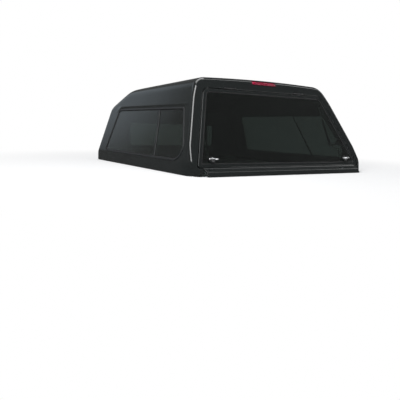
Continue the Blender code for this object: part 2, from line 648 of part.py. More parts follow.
def build_strut(side, word, hinge, place):
    """A gas strut: its tube swings on the shell's stud, and its rod reaches the door's stud."""
    foot, head = strut_points(side)
    line = (head - foot).normalized()
    length = (head - foot).length
    x, v, w = STRUT_SHELL
    tab = x + 0.040
    base = block(word + "_shell_base", side, (tab - 0.004, v - 0.022, -FRAME_DEPTH - 0.0043), (x + 0.104, v + 0.022, -FRAME_DEPTH - 0.0003), place)
    bracket = add(word + "_strut_shell_bracket", base, "steel")
    join(bracket, block(word + "_shell_tab", side, (tab - 0.004, v - 0.013, w - 0.012), (tab, v + 0.013, -0.040), place))
    stud = [(-0.004, 0.0001), (-0.004, 0.0030), (-0.002, 0.0044), (0.0, 0.0048), (0.002, 0.0044), (0.004, 0.0030), (0.038, 0.0030), (0.038, 0.0001)]
    join(bracket, turned(word + "_shell_stud", stud, (side * x, v, w), (side, 0, 0), 16, place))
    swing = pivot(word + "_strut_pivot", Matrix.Translation(foot))
    eye = tube_ring(word + "_strut_eye", 0.0056, 0.0095, -0.0035, 0.0035, foot, (1, 0, 0), 20)
    tube = add(word + "_strut_tube", eye, "black_frame", swing)
    mouth = length * 0.66
    barrel = [(0.0080, 0.0001), (0.0080, 0.0038), (0.020, 0.0045), (0.022, 0.0090), (mouth - 0.004, 0.0090), (mouth, 0.0070), (mouth, 0.0001)]
    join(tube, turned(word + "_strut_barrel", barrel, foot, line, 20))
    cut(tube, turned(word + "_strut_bore", ((0.040, 0.0001), (0.040, 0.0046), (mouth + 0.02, 0.0046), (mouth + 0.02, 0.0001)), foot, line, 20))
    slide = pivot(word + "_rod_slide", Matrix.Translation(head), swing)
    rod = [(0.046, 0.0001), (0.046, 0.0040), (length - 0.018, 0.0040), (length - 0.016, 0.0055), (length - 0.006, 0.0055), (length - 0.006, 0.0001)]
    piece = add(word + "_strut_rod", turned(word + "_strut_shaft", rod, foot, line, 20), "chrome", slide)
    end = [(-0.004, 0.0001), (-0.004, 0.0085), (0.004, 0.0085), (0.004, 0.0001)]
    join(piece, turned(word + "_rod_end", end, head, (1, 0, 0), 20))
    x, v, w = STRUT_DOOR
    tab = x + 0.023
    base = block(word + "_door_base", side, (tab - 0.004, v - 0.020, -0.0258), (x + 0.0285, v + 0.020, -DOOR_FRAME_DEPTH - 0.0003), place)
    stay = add(word + "_strut_door_bracket", base, "steel", hinge)
    join(stay, block(word + "_door_tab", side, (tab - 0.004, v - 0.010, w - 0.010), (tab, v + 0.010, -0.024), place))
    stud = [(0.009, 0.0001), (0.009, 0.0040), (0.021, 0.0040), (0.021, 0.0001)]
    join(stay, turned(word + "_door_stud", stud, (side * x, v, w), (side, 0, 0), 16, place))


def build_lamp():
    """The high-level brake light, let into the roof's rear edge over the door."""
    place = door_matrix()
    low, high = LAMP_V
    housing = [(low, -0.0237), (high, -0.0237), (high, -0.0070), (low, -0.0120)]
    rings = [[(side * LAMP_HALF, v, w) for v, w in housing] for side in (-1, 1)]
    add("brake_light_housing", loft("brake_light_housing", rings, place), "black_frame")
    lens = [(low, -0.0117), (high, -0.0067), (high, 0.0020), (high - 0.004, 0.0055), (high - 0.014, 0.0062), (low + 0.010, -0.0010), (low + 0.002, -0.0080)]
    rings = []
    for k, share in enumerate((0.0, 0.02, 0.98, 1.0)):
        x = LAMP_HALF * (2.0 * share - 1.0)
        sink = 0.004 if k in (0, 3) else 0.0
        rings.append([(x, v, w if i < 2 else w - sink * 0.9) for i, (v, w) in enumerate(lens)])
    add("brake_light_lens", loft("brake_light_lens", rings, place), "red_lens")


def main():
    for obj in list(bpy.data.objects):
        bpy.data.objects.remove(obj, do_unlink=True)
    build_shell()
    for side, word in ((-1, "left"), (1, "right")):
        build_window(word, window_corners(), WINDOW_RADII, side_matrix(side), DIVIDER_Y)
    build_window("front", FRONT_WINDOW, FRONT_RADII, front_matrix())
    build_seals()
    build_lamp()
    hinge, place = build_door()
    build_hinges(hinge, place)
    for side, word in ((-1, "left"), (1, "right")):
        build_handle(side, word, hinge, place)
        build_strut(side, word, hinge, place)


main()
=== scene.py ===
"""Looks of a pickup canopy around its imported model, laid out as an add-on and run as a script.

X is to the right, Y towards the cab and Z up, in metres, and the rail seal rests on Z = 0.
The rear door is drawn in its own leaning plane: x across, v down from the hinge, w outwards.
"""
from math import acos, atan, cos, hypot, pi, radians, sin, sqrt, tan

import bmesh
import bpy
from mathutils import Matrix, Vector


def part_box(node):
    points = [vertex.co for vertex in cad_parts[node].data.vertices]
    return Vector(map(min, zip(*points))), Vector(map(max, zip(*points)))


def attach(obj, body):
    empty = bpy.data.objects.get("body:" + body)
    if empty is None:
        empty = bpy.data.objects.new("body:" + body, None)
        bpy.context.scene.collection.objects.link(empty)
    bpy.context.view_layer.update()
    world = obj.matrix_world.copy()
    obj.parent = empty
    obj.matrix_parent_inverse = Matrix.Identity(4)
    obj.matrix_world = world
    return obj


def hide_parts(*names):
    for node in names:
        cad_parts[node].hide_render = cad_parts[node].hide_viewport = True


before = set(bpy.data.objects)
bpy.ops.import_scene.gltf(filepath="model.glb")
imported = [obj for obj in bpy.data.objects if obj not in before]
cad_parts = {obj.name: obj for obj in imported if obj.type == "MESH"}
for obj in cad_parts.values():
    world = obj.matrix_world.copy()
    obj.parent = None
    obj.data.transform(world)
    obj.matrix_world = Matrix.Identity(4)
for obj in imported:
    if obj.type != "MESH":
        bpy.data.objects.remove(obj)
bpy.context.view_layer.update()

bl_info = {
    "name": "Pickup Canopy",
    "version": (1, 0, 0),
    "blender": (4, 5, 0),
    "location": "View3D > Sidebar > Canopy",
    "description": "Gelcoat shell, tinted windows, lift-up door and fittings of a pickup canopy",
    "category": "Object",
}

# Shell
BASE_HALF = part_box("shell")[1][0]
BASE_Z = 0.0043
FRONT_Y = 0.9653
REAR_Y = -0.934
REAR_SLOPE = 0.50
WALL = 0.008
FLANGE_WIDTH = 0.058
FLANGE_THICK = 0.010
LEAN_FROM_Z = 0.085
LEAN_SOFT = 0.010
SIDE_LEAN = 0.345
ROOF_REAR_Z = 0.7475
ROOF_RISE = 0.033
ROOF_BREAK_Y = 0.645
ROOF_BREAK_SLOPE = 0.44
ROOF_BREAK_SOFT = 0.05
ROOF_CROWN = 0.0165
CROWN_HALF = 0.66
ROOF_CORNER = 0.080
LEDGE_Z = 0.526
LEDGE_FRONT_Y = 0.80
LEDGE_FRONT_RUN = 0.14
LEDGE_REAR_Y = -0.480
LEDGE_REAR_RUN = 0.10
LEDGE_OUT = 0.010
FRONT_ROUND = 0.050
REAR_ROUND = 0.026
# The raised rim round the rear opening, and the tuck of the rear corners at the rail
RIM_OUT = 0.022
RIM_Y = -0.886
RIM_RUN = 0.026
RIM_FOOT_Z = 0.095
RIM_FOOT_RUN = 0.13
RIM_HEAD_Z = 0.73
RIM_HEAD_RUN = 0.17
TUCK = 0.055
TUCK_Z = 0.11
TUCK_Y = -0.80
TUCK_RUN = 0.12
# Rear opening and door
HINGE_Z = 0.655
DOOR_TOP_HALF = 0.610
DOOR_SPREAD = 0.320
DOOR_TOP_V = 0.008
DOOR_GAP = 0.006
DOOR_FOOT_V = 0.661
DOOR_BAR_WIDTH = 0.026
DOOR_BAR_DEPTH = 0.022
DOOR_RADII = (0.075, 0.075, 0.018, 0.018)
SKIRT_HALF = 0.775
RABBET_DEPTH = 0.030
FRAME_DEPTH = 0.038
LIP_WIDTH = 0.014
HINGE_X = 0.360
HINGE_HALF = 0.060
HANDLE_X = 0.685
HANDLE_V = 0.604
PAWL_LENGTH = 0.118
LAMP_HALF = 0.122
LAMP_V = (-0.094, -0.058)
# Windows
WINDOW_SILL_Z = 0.097
WINDOW_TOP_Z = 0.500
WINDOW_FRONT_Y = 0.753
WINDOW_FRONT_RAKE = 0.034
WINDOW_REAR_Y = -0.788
WINDOW_REAR_SLOPE = 0.61
DIVIDER_Y = -0.308
DIVIDER_SLOPE = 0.437
WINDOW_FLANGE = 0.008
WINDOW_SIGHT = 0.013
FRONT_SIGHT = 0.024
FRONT_FLANGE = 0.014
WINDOW_RADII = (0.095, 0.040, 0.045, 0.045)
FRONT_WINDOW = [(-0.540, 0.115), (0.540, 0.115), (0.540, 0.400), (-0.540, 0.400)]
FRONT_RADII = (0.050, 0.050, 0.050, 0.050)
# Depths of the panes and of the clamp rings' inner face, along each window's own normal
FIXED_PANE = (-0.006, -0.002)
SLIDING_PANE = (-0.0085, -0.0045)
REAR_PANE = (-0.009, -0.004)
CLAMP_FACE = -0.0125

ALPHA = atan(REAR_SLOPE)
BETA = atan(SIDE_LEAN)
SIDES = ((-1, "left"), (1, "right"))
SHELL, DOOR = "canopy_shell", "rear_door"


def length(label, text, default):
    return bpy.props.FloatProperty(name=label, description=text, default=default, unit="LENGTH", precision=4)


def turn(label, text, degrees):
    return bpy.props.FloatProperty(name=label, description=text, default=radians(degrees), unit="ROTATION")


def colour(label, text, default):
    return bpy.props.FloatVectorProperty(
        name=label, description=text, default=default, size=3, subtype="COLOR", min=0.0, max=1.0)


class CanopySizes(bpy.types.PropertyGroup):
    """Small sizes that the solids leave open."""
    door_edge: length("Door edge", "Radius of the moulded edge round the door opening", 0.0035)
    frame_edge: length("Door frame edge", "Radius of the door frame's outer edges", 0.0045)
    skirt_edge: length("Skirt edge", "Radius of the door skirt's ends", 0.0022)
    screw_head: length("Screw head", "Diameter of the clamp ring screws", 0.0072)
    screw_pitch: length("Screw pitch", "Distance between the screws of a clamp ring", 0.115)
    rib_pitch: length("Lens ribs", "Distance between the ribs behind the brake light lens", 0.0045)
    peel: length("Orange peel", "Size of the dimples in the gelcoat", 0.006)


class CanopyColours(bpy.types.PropertyGroup):
    """Colours of the finishes, in linear light."""
    gelcoat: colour("Gelcoat", "Outside of the shell, door frame and skirt", (0.0105, 0.0125, 0.0123))
    lining: colour("Lining", "Speckled inside of the shell", (0.016, 0.017, 0.017))
    frame_paint: colour("Frame paint", "Powder coat of the window frames", (0.010, 0.0105, 0.011))
    glass: colour("Glass", "Tint of a pane", (0.098, 0.120, 0.111))
    rubber: colour("Rubber", "Seals and gaskets", (0.010, 0.010, 0.0105))
    chrome: colour("Chrome", "Handles", (0.80, 0.81, 0.83))
    zinc: colour("Zinc", "Brackets, pawls and screws", (0.52, 0.52, 0.50))
    lens: colour("Lens", "Brake light cover", (0.30, 0.004, 0.034))


class CanopyStudio(bpy.types.PropertyGroup):
    """Camera and light."""
    camera_place: bpy.props.FloatVectorProperty(
        name="Camera", description="Camera place", default=(-2.6607, -3.8554, 0.3429), subtype="TRANSLATION")
    yaw: turn("Yaw", "Turn of the view from +Y towards +X", 31.531)
    pitch: turn("Pitch", "Downward tilt of the view", 7.304)
    roll: turn("Roll", "Roll of the camera", 1.657)
    focal: bpy.props.FloatProperty(name="Lens", description="Focal length on a 36 mm sensor", default=44.593)
    shift: bpy.props.FloatVectorProperty(
        name="Shift", description="Shift of the view in frame widths", default=(0.01472, -0.02165), size=2)
    floor: length("Floor", "Size of the floor", 60.0)
    clearing: length("Clearing", "Distance at which the floor turns plain white", 2.0)
    mirror: bpy.props.FloatProperty(
        name="Mirror", description="Share of the white surroundings that a reflection shows", default=0.14)


# Node graphs
class Value:
    """A socket that carries a number, so that sums of it read as Python."""

    def __init__(self, graph, socket):
        self.graph = graph
        self.socket = socket

    def math(self, operation, *values):
        return self.graph.add("Math", {"operation": operation}, dict(enumerate(values)))

    def __add__(self, other):
        return self.math("ADD", self, other)

    def __rsub__(self, other):
        return self.math("SUBTRACT", other, self)

    def __mul__(self, other):
        return self.math("MULTIPLY", self, other)

    def __truediv__(self, other):
        return self.math("DIVIDE", self, other)

    __radd__ = __add__

    def above(self, edge, soft):
        """0 under an edge and 1 over it, with a soft step."""
        return self.graph.add("MapRange", {"interpolation_type": "SMOOTHSTEP"},
                              {"Value": self, "From Min": edge - soft, "From Max": edge + soft})


class Graph:
    """A node tree that is written with one call a node."""
    family = "ShaderNode"

    def __init__(self, tree):
        self.tree = tree

    def put(self, socket, value):
        if isinstance(value, Value):
            self.tree.links.new(value.socket, socket)
        else:
            socket.default_value = value

    def add(self, kind, settings=None, values=None, out=0):
        """Adds a node: its settings first, then the values or links of its sockets."""
        node = self.tree.nodes.new(self.family + kind)
        for key, value in (settings or {}).items():
            setattr(node, key, value)
        for key, value in (values or {}).items():
            self.put(node.inputs[key], value)
        return Value(self, node.outputs[out])


class Shader(Graph):
    """One material on the Principled shader."""

    def __init__(self, **fixed):
        self.material = bpy.data.materials.new("finish")
        self.material.use_nodes = True
        super().__init__(self.material.node_tree)
        self.surface = self.tree.nodes["Principled BSDF"]
        for label, value in fixed.items():
            self.surface.inputs[label.replace("_", " ")].default_value = value
        self.place = self.add("TexCoord", out="Object")

    def noise(self, size, detail=2.0):
        """Noise from 0 to 1 with features of about a size in metres."""
        values = {"Vector": self.place, "Scale": 1.0 / size, "Detail": detail}
        return self.add("TexNoise", None, values)

    def mix(self, share, first, second):
        """A colour between two colours."""
        return self.add("Mix", {"data_type": "RGBA"}, {0: share, 6: first, 7: second}, out=2)

    def bump(self, height, distance, under=None):
        values = {"Height": height, "Distance": distance}
        if under:
            values["Normal"] = under
        return self.add("Bump", None, values)

    def looks(self, tone, roughness, relief=None):
        """Sets what varies over the surface and hands over the material."""
        for label, value in (("Base Color", tone), ("Roughness", roughness), ("Normal", relief)):
            if value is not None:
                self.put(self.surface.inputs[label], value)
        return self.material


def rgba(tone, scale=1.0):
    return (tone[0] * scale, tone[1] * scale, tone[2] * scale, 1.0)


MADE = {}


def finish_of(name):
    """A finish by its record slot, made once."""
    if name not in MADE:
        MADE[name] = FINISHES[name](bpy.context.scene.canopy_colours)
        MADE[name].name = name
    return MADE[name]


def gelcoat(colours):
    """Deep gloss outside with orange peel and a slow wave; speckled, matt lining inside."""
    s = Shader(Specular_IOR_Level=0.5)
    lined = s.add("Attribute", {"attribute_name": "lining"}, out="Fac")
    dust = s.noise(0.0025).above(0.66, 0.05) * s.noise(0.22, 3.0).above(0.60, 0.15)
    paint = s.mix(s.noise(0.35, 3.0), rgba(colours.gelcoat, 0.9), rgba(colours.gelcoat, 1.12))
    paint = s.mix(dust * 0.25, paint, rgba((0.10, 0.10, 0.095)))
    specks = s.noise(0.0022).above(0.62, 0.04)
    lining = s.mix(specks, rgba(colours.lining), rgba((0.12, 0.12, 0.118)))
    shine = 0.045 + s.noise(0.5, 3.0) * 0.035 + dust * 0.2
    wave = s.bump(s.noise(0.30, 1.0), 0.0004)
    peel = s.bump(s.noise(bpy.context.scene.canopy_sizes.peel, 1.0), 0.00002, wave)
    grain = s.bump(s.noise(0.004) * lined, 0.0003, peel)
    return s.looks(s.mix(lined, paint, lining), shine * (1.0 - lined) + lined * 0.62, grain)


def black_frame(colours):
    """Satin powder coat with its fine pebble."""
    s = Shader(Specular_IOR_Level=0.5)
    tone = s.mix(s.noise(0.12, 3.0), rgba(colours.frame_paint), rgba(colours.frame_paint, 1.5))
    return s.looks(tone, 0.30 + s.noise(0.05, 3.0) * 0.12, s.bump(s.noise(0.0011, 1.0), 0.00006))


def black_plastic(colours):
    """Moulded housing with a fine spark grain."""
    s = Shader(Specular_IOR_Level=0.45)
    tone = s.mix(s.noise(0.03), rgba((0.012, 0.012, 0.013)), rgba((0.020, 0.020, 0.021)))
    return s.looks(tone, 0.42 + s.noise(0.02) * 0.15, s.bump(s.noise(0.0008, 1.0), 0.00008))


def tinted_glass(colours):
    """Privacy glass: light passes dimmed and slightly green, and the float surface waves a little."""
    s = Shader(Transmission_Weight=1.0, IOR=1.5)
    tone = s.mix(s.noise(0.4), rgba(colours.glass, 0.92), rgba(colours.glass, 1.08))
    return s.looks(tone, 0.0, s.bump(s.noise(0.60, 1.0), 0.0004))


def rubber(colours):
    """Weatherstrip rubber, matt, with a chalky bloom in places."""
    s = Shader(Specular_IOR_Level=0.35)
    bloom = s.noise(0.04, 4.0).above(0.58, 0.12)
    tone = s.mix(bloom * 0.5, rgba(colours.rubber), rgba((0.030, 0.030, 0.030)))
    return s.looks(tone, 0.62 + bloom * 0.2, s.bump(s.noise(0.0009), 0.0001))


def chrome(colours):
    """Polished plating with finger marks."""
    s = Shader(Metallic=1.0)
    smudge = s.noise(0.012, 4.0).above(0.56, 0.14)
    tone = s.mix(smudge * 0.3, rgba(colours.chrome), rgba(colours.chrome, 0.82))
    return s.looks(tone, 0.05 + smudge * 0.10)


def bright_steel(colours):
    """Hard-chromed rod, ground in fine rings."""
    s = Shader(Metallic=1.0)
    tone = s.mix(s.noise(0.02), rgba((0.60, 0.61, 0.62)), rgba((0.70, 0.71, 0.72)))
    return s.looks(tone, 0.14 + s.noise(0.004) * 0.08, s.bump(s.noise(0.0006, 1.0), 0.00001))


def steel(colours):
    """Zinc-plated sheet with its cloudy passivation."""
    s = Shader(Metallic=1.0)
    cloud = s.noise(0.010, 4.0)
    tone = s.mix(cloud, rgba(colours.zinc, 0.8), rgba(colours.zinc, 1.15))
    return s.looks(tone, 0.30 + cloud * 0.18, s.bump(s.noise(0.0012, 3.0), 0.00004))


def red_lens(colours):
    """Clear red acrylic."""
    s = Shader(Transmission_Weight=0.60, IOR=1.49)
    tone = s.mix(s.noise(0.03), rgba(colours.lens, 0.95), rgba(colours.lens, 1.05))
    return s.looks(tone, 0.04 + s.noise(0.02, 3.0) * 0.05)


FINISHES = {make.__name__: make for make in (
    gelcoat, black_frame, black_plastic, tinted_glass, rubber, chrome, bright_steel, steel, red_lens)}


# Placing frames
def placing(columns, origin):
    """A matrix from its three columns and its origin."""
    matrix = Matrix(columns).transposed().to_4x4()
    matrix.translation = Vector(origin)
    return matrix


def door_matrix():
    """From (x, v, w) of the door's plane."""
    down = (0.0, -sin(ALPHA), -cos(ALPHA))
    out = (0.0, -cos(ALPHA), sin(ALPHA))
    return placing(((1.0, 0.0, 0.0), down, out), (0.0, REAR_Y + REAR_SLOPE * HINGE_Z, HINGE_Z))


def side_matrix(side):
    """From (y, up the side, out of it) of a side's plane."""
    up = (-side * sin(BETA), 0.0, cos(BETA))
    out = (side * cos(BETA), 0.0, sin(BETA))
    return placing(((0.0, 1.0, 0.0), up, out), (side * BASE_HALF, 0.0, LEAN_FROM_Z))


def front_matrix():
    """From (x, z, forwards) of the front wall's plane."""
    return placing(((1.0, 0.0, 0.0), (0.0, 0.0, 1.0), (0.0, 1.0, 0.0)), (0.0, FRONT_Y, 0.0))


DOOR_PLACE = door_matrix()


# Mesh tools
def closed_mesh(bm, matrix=None):
    """A mesh with its faces outwards, put in its place."""
    if matrix is not None:
        bmesh.ops.transform(bm, matrix=matrix, verts=bm.verts)
    bmesh.ops.recalc_face_normals(bm, faces=bm.faces)
    mesh = bpy.data.meshes.new("mesh")
    bm.to_mesh(mesh)
    bm.free()
    return mesh


def skin(rings, matrix=None, closed=False):
    """A surface over equal rings of points, capped unless the rings close on each other."""
    bm = bmesh.new()
    rows = [[bm.verts.new(p) for p in ring] for ring in rings]
    count = len(rows[0])
    pairs = list(zip(rows, rows[1:]))
    if closed:
        pairs.append((rows[-1], rows[0]))
    for a, b in pairs:
        for i in range(count):
            j = (i + 1) % count
            bm.faces.new((a[i], a[j], b[j], b[i]))
    if not closed:
        bm.faces.new(list(reversed(rows[0])))
        bm.faces.new(rows[-1])
    return closed_mesh(bm, matrix)


def prism(shape, low, high, matrix=None):
    return skin([[(x, y, z) for x, y in shape] for z in (low, high)], matrix)


def block(x, half, v, w):
    """A block in the door's plane, from its middle and half width and its two ends down and outwards."""
    return prism(((x - half, v[0]), (x + half, v[0]), (x + half, v[1]), (x - half, v[1])), *w, DOOR_PLACE)


def circle(sides):
    """Cosine and sine at even steps round a circle."""
    return [(cos(a), sin(a)) for a in (2.0 * pi * i / sides for i in range(sides))]


def turned(profile, centre, sides=48):
    """(along, radius) pairs turned about a line that stands on the door's plane."""
    place = Matrix.Translation(centre)
    return skin([[place @ Vector((radius * c, radius * s, along)) for c, s in circle(sides)]
                 for along, radius in profile], DOOR_PLACE)


def move_edges(corners, distances):
    """Moves each edge of a counter-clockwise polygon inwards by its own distance."""
    lines = []
    for i, corner in enumerate(corners):
        a = Vector(corner)
        along = (Vector(corners[(i + 1) % len(corners)]) - a).normalized()
        lines.append((a + Vector((-along.y, along.x)) * distances[i], along))
    moved = []
    for i, (q, e) in enumerate(lines):
        p, d = lines[i - 1]
        t = ((q.x - p.x) * e.y - (q.y - p.y) * e.x) / (d.x * e.y - d.y * e.x)
        moved.append(tuple(p + d * t))
    return moved


def rounded(corners, radii, steps=10):
    """Each corner as an arc of its own radius."""
    points = []
    for i, corner in enumerate(corners):
        here = Vector(corner)
        back = (Vector(corners[i - 1]) - here).normalized()
        ahead = (Vector(corners[(i + 1) % len(corners)]) - here).normalized()
        half = acos(max(-1.0, min(1.0, back.dot(ahead)))) / 2.0
        radius = radii[i]
        centre = here + (back + ahead).normalized() * (radius / sin(half))
        start = here + back * (radius / tan(half)) - centre
        sweep = start.angle_signed(here + ahead * (radius / tan(half)) - centre)
        for k in range(steps + 1):
            points.append(tuple(centre + Matrix.Rotation(-sweep * k / steps, 2) @ start))
    return points


def outline(corners, inset, radii, steps=10):
    """A rounded outline moved inwards, so that nested outlines stay parallel."""
    moved = move_edges(corners, [inset] * len(corners))
    return rounded(moved, [max(r - inset, 0.002) for r in radii], steps)


def nested(corners, radii, profile, matrix):
    """A ring from a closed (inset, height) profile and one parallel outline for each of its points."""
    loops = [[(x, y, height) for x, y in outline(corners, inset, radii, 16)] for inset, height in profile]
    return skin(zip(*loops), matrix, closed=True)


def new_object(name, data):
    data.name = name
    obj = bpy.data.objects.new(name, data)
    bpy.context.scene.collection.objects.link(obj)
    return obj


def cut(obj, mesh, operation="DIFFERENCE"):
    """A Boolean against a guide that goes when the piece is settled."""
    guide = new_object("guide", mesh)
    guide.hide_render = True
    modifier = obj.modifiers.new("cut", "BOOLEAN")
    modifier.operation = operation
    modifier.solver = "EXACT"
    modifier.object = guide



def settle(obj):
    """Turns the modifiers' result into the object's own mesh and drops its guides."""
    guides = [m.object for m in obj.modifiers if m.type == "BOOLEAN"]
    bpy.context.view_layer.update()
    evaluated = obj.evaluated_get(bpy.context.evaluated_depsgraph_get())
    mesh = bpy.data.meshes.new_from_object(evaluated)
    obj.modifiers.clear()
    obj.data = mesh
    for guide in guides:
        bpy.data.objects.remove(guide, do_unlink=True)


def bevel(obj, width, segments=3):
    modifier = obj.modifiers.new("edges", "BEVEL")
    modifier.width = width
    modifier.segments = segments
    modifier.limit_method = "ANGLE"
    modifier.angle_limit = radians(40.0)


def dress(obj, slot, body, *replaced, angle=35.0):
    """Finishes a piece: smooth faces with true flats, material, body, slot and the nodes it stands for."""
    obj.data.shade_smooth()
    obj.data.set_sharp_from_angle(angle=radians(angle))
    modifier = obj.modifiers.new("normals", "WEIGHTED_NORMAL")
    modifier.keep_sharp = True
    modifier.weight = 60
    settle(obj)
    obj.data.materials.clear()
    obj.data.materials.append(finish_of(slot))
    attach(obj, body)
    if replaced:
        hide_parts(*replaced)


def piece(name, mesh, slot, body, *replaced, angle=35.0):
    """A finished piece straight from its mesh."""
    dress(new_object(name, mesh), slot, body, *replaced, angle=angle)


def paint_nodes(slot, *names):
    """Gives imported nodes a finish."""
    for name in names:
        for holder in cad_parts[name].material_slots:
            holder.material = finish_of(slot)


def paint_pairs(slot, *names):
    """The same for nodes that stand left and right."""
    for side, word in SIDES:
        paint_nodes(slot, *(word + name for name in names))


# Geometry nodes
class Geometry(Graph):
    """A geometry tree with named inputs, ending in Realize Instances and Set Material."""
    family = ""

    def __init__(self, name, inputs):
        super().__init__(bpy.data.node_groups.new(name, "GeometryNodeTree"))
        sockets = self.tree.interface
        sockets.new_socket("Geometry", in_out="OUTPUT", socket_type="NodeSocketGeometry")
        self.keys = {}
        for label, kind in inputs + (("Material", "Material"),):
            made = sockets.new_socket(label, in_out="INPUT", socket_type="NodeSocket" + kind)
            self.keys[label] = made.identifier
        self.source = self.tree.nodes.new("NodeGroupInput")

    def given(self, label):
        return Value(self, self.source.outputs[label])

    def shape(self, label):
        """The geometry of an object that is given."""
        return self.add("GeometryNodeObjectInfo", None, {"Object": self.given(label)}, out="Geometry")

    def end(self, geometry):
        real = self.add("GeometryNodeRealizeInstances", None, {"Geometry": geometry})
        given = {"Geometry": real, "Material": self.given("Material")}
        done = self.add("GeometryNodeSetMaterial", None, given)
        sink = self.tree.nodes.new("NodeGroupOutput")
        self.put(sink.inputs["Geometry"], done)

    def grow(self, name, matrix, slot, *replaced, angle=35.0, **given):
        """A piece of the shell from the tree, moved from the plane it is drawn in to its place."""
        obj = new_object(name, bpy.data.meshes.new(name))
        modifier = obj.modifiers.new("nodes", "NODES")
        modifier.node_group = self.tree
        given["Material"] = finish_of(slot)
        for label, value in given.items():
            modifier[self.keys[label]] = value
        settle(obj)
        bm = bmesh.new()
        bm.from_mesh(obj.data)
        bmesh.ops.remove_doubles(bm, verts=bm.verts, dist=0.00001)
        obj.data = closed_mesh(bm, matrix)
        dress(obj, slot, SHELL, *replaced, angle=angle)


def path_object(points):
    """A closed flat path or profile for a tree to read; drop() removes it afterwards."""
    curve = bpy.data.curves.new("path", "CURVE")
    curve.dimensions = "3D"
    spline = curve.splines.new("POLY")
    spline.points.add(len(points) - 1)
    for target, point in zip(spline.points, points):
        target.co = (point[0], point[1], 0.0, 1.0)
    spline.use_cyclic_u = True
    return new_object("path", curve)


def drop(*objects):
    for obj in objects:
        bpy.data.objects.remove(obj, do_unlink=True)


def sweep_tree():
    """Carries a closed profile along a flat path, as an extruded trim is bent to its opening."""
    g = Geometry("trim_sweep", (("Path", "Object"), ("Profile", "Object")))
    path = g.add("GeometryNodeSetCurveNormal", {"mode": "Z_UP"}, {"Curve": g.shape("Path")})
    g.end(g.add("GeometryNodeCurveToMesh", None, {"Curve": path, "Profile Curve": g.shape("Profile")}))
    return g


def screw_tree():
    """Spaces screws evenly along a flat path, each turned at random in its own hole."""
    g = Geometry("screw_row", (("Path", "Object"), ("Screw", "Object"), ("Count", "Int"), ("Seed", "Int")))
    places = g.add("GeometryNodeResampleCurve", None, {"Curve": g.shape("Path"), "Count": g.given("Count")})
    spin = g.add("FunctionNodeRandomValue", {"data_type": "FLOAT_VECTOR"},
                 {0: (0.0, 0.0, 0.0), 1: (0.0, 0.0, 2.0 * pi), "Seed": g.given("Seed")})
    g.end(g.add("GeometryNodeInstanceOnPoints", None,
                {"Points": places, "Instance": g.shape("Screw"), "Rotation": spin}))
    return g


# Shell
LEDGE_MARKS = (-0.022, -0.018, -0.014, -0.010, -0.006, -0.003, -0.001, 0.0, 0.001, 0.002, 0.004, 0.007, 0.010)


def smooth(value):
    value = max(0.0, min(1.0, value))
    return value * value * (3.0 - 2.0 * value)


def roof_z(y):
    """Height of the roof's centre line."""
    past = y - ROOF_BREAK_Y
    soft = 0.5 * (past + hypot(past, ROOF_BREAK_SOFT))
    return ROOF_REAR_Z - ROOF_RISE * (y - (REAR_Y + REAR_SLOPE * ROOF_REAR_Z)) - ROOF_BREAK_SLOPE * soft


def crown_z(top_z, x):
    return top_z - ROOF_CROWN * (x / CROWN_HALF) ** 2


def side_x(z):
    """Half width at a height: upright at the rail, leaning inwards over it."""
    over = z - LEAN_FROM_Z
    return BASE_HALF - SIDE_LEAN * 0.5 * (over + hypot(over, LEAN_SOFT))


def ledge_shape(rise):
    """How far the ledge stands out at a height over its lip, from 0 to 1."""
    if rise < 0.0:
        return smooth(1.0 + rise / 0.022)
    return 1.0 - smooth(rise / 0.007)


def half_section(top_z, y_top, base_z, outer):
    """The right half of a cross-section from the rail up to the roof's centre, as (x, z)."""
    ahead = smooth((LEDGE_FRONT_Y - y_top) / LEDGE_FRONT_RUN)
    ledge = ahead * smooth((y_top - LEDGE_REAR_Y) / LEDGE_REAR_RUN) * LEDGE_OUT
    corner = Vector((0.0, top_z))
    for _ in range(6):
        corner.x = BASE_HALF - SIDE_LEAN * (corner.y - LEAN_FROM_Z)
        corner.y = crown_z(top_z, corner.x)
    low = corner + Vector((SIDE_LEAN, -1.0)).normalized() * ROOF_CORNER
    roof_x = corner.x - ROOF_CORNER
    high = Vector((roof_x, crown_z(top_z, roof_x)))
    reach = low.y - LEAN_FROM_Z
    heights = [LEAN_FROM_Z + 0.007 * k for k in range(-4, 5)]
    marks = [min(LEDGE_Z + mark, LEAN_FROM_Z + reach * (0.80 + 0.0154 * k))
             for k, mark in enumerate(LEDGE_MARKS)]
    foot, head = heights[-1], marks[-1]
    heights += [foot + (marks[0] - foot) * k / 7.0 for k in range(1, 7)]
    points = [(BASE_HALF, base_z)] + [(side_x(z), z) for z in heights]
    for mark, z in zip(LEDGE_MARKS, marks):
        points.append((side_x(z) + (ledge * ledge_shape(mark) if outer else 0.0), z))
    points += [(side_x(z), z) for z in (head + (low.y - head) * k / 6.0 for k in range(1, 6))]
    for t in (k / 14.0 for k in range(15)):
        points.append(tuple(low * (1.0 - t) ** 2 + corner * 2.0 * t * (1.0 - t) + high * t * t))
    return points + [(x, crown_z(top_z, x)) for x in (roof_x * (1.0 - k / 12.0) for k in range(1, 13))]


def inset_section(points, inset):
    """Moves the half-section inwards along its own normals."""
    if inset == 0.0:
        return points
    moved = []
    for i, point in enumerate(points):
        here = Vector(point)
        before = Vector(points[i - 1]) if i else here - Vector((0.0, 0.01))
        after = Vector(points[i + 1]) if i + 1 < len(points) else here + Vector((-0.01, 0.0))
        first = (here - before).normalized().orthogonal()
        second = (after - here).normalized().orthogonal()
        between = (first + second).normalized()
        moved.append(tuple(here + between * (inset / max(between.dot(first), 0.5))))
    return moved


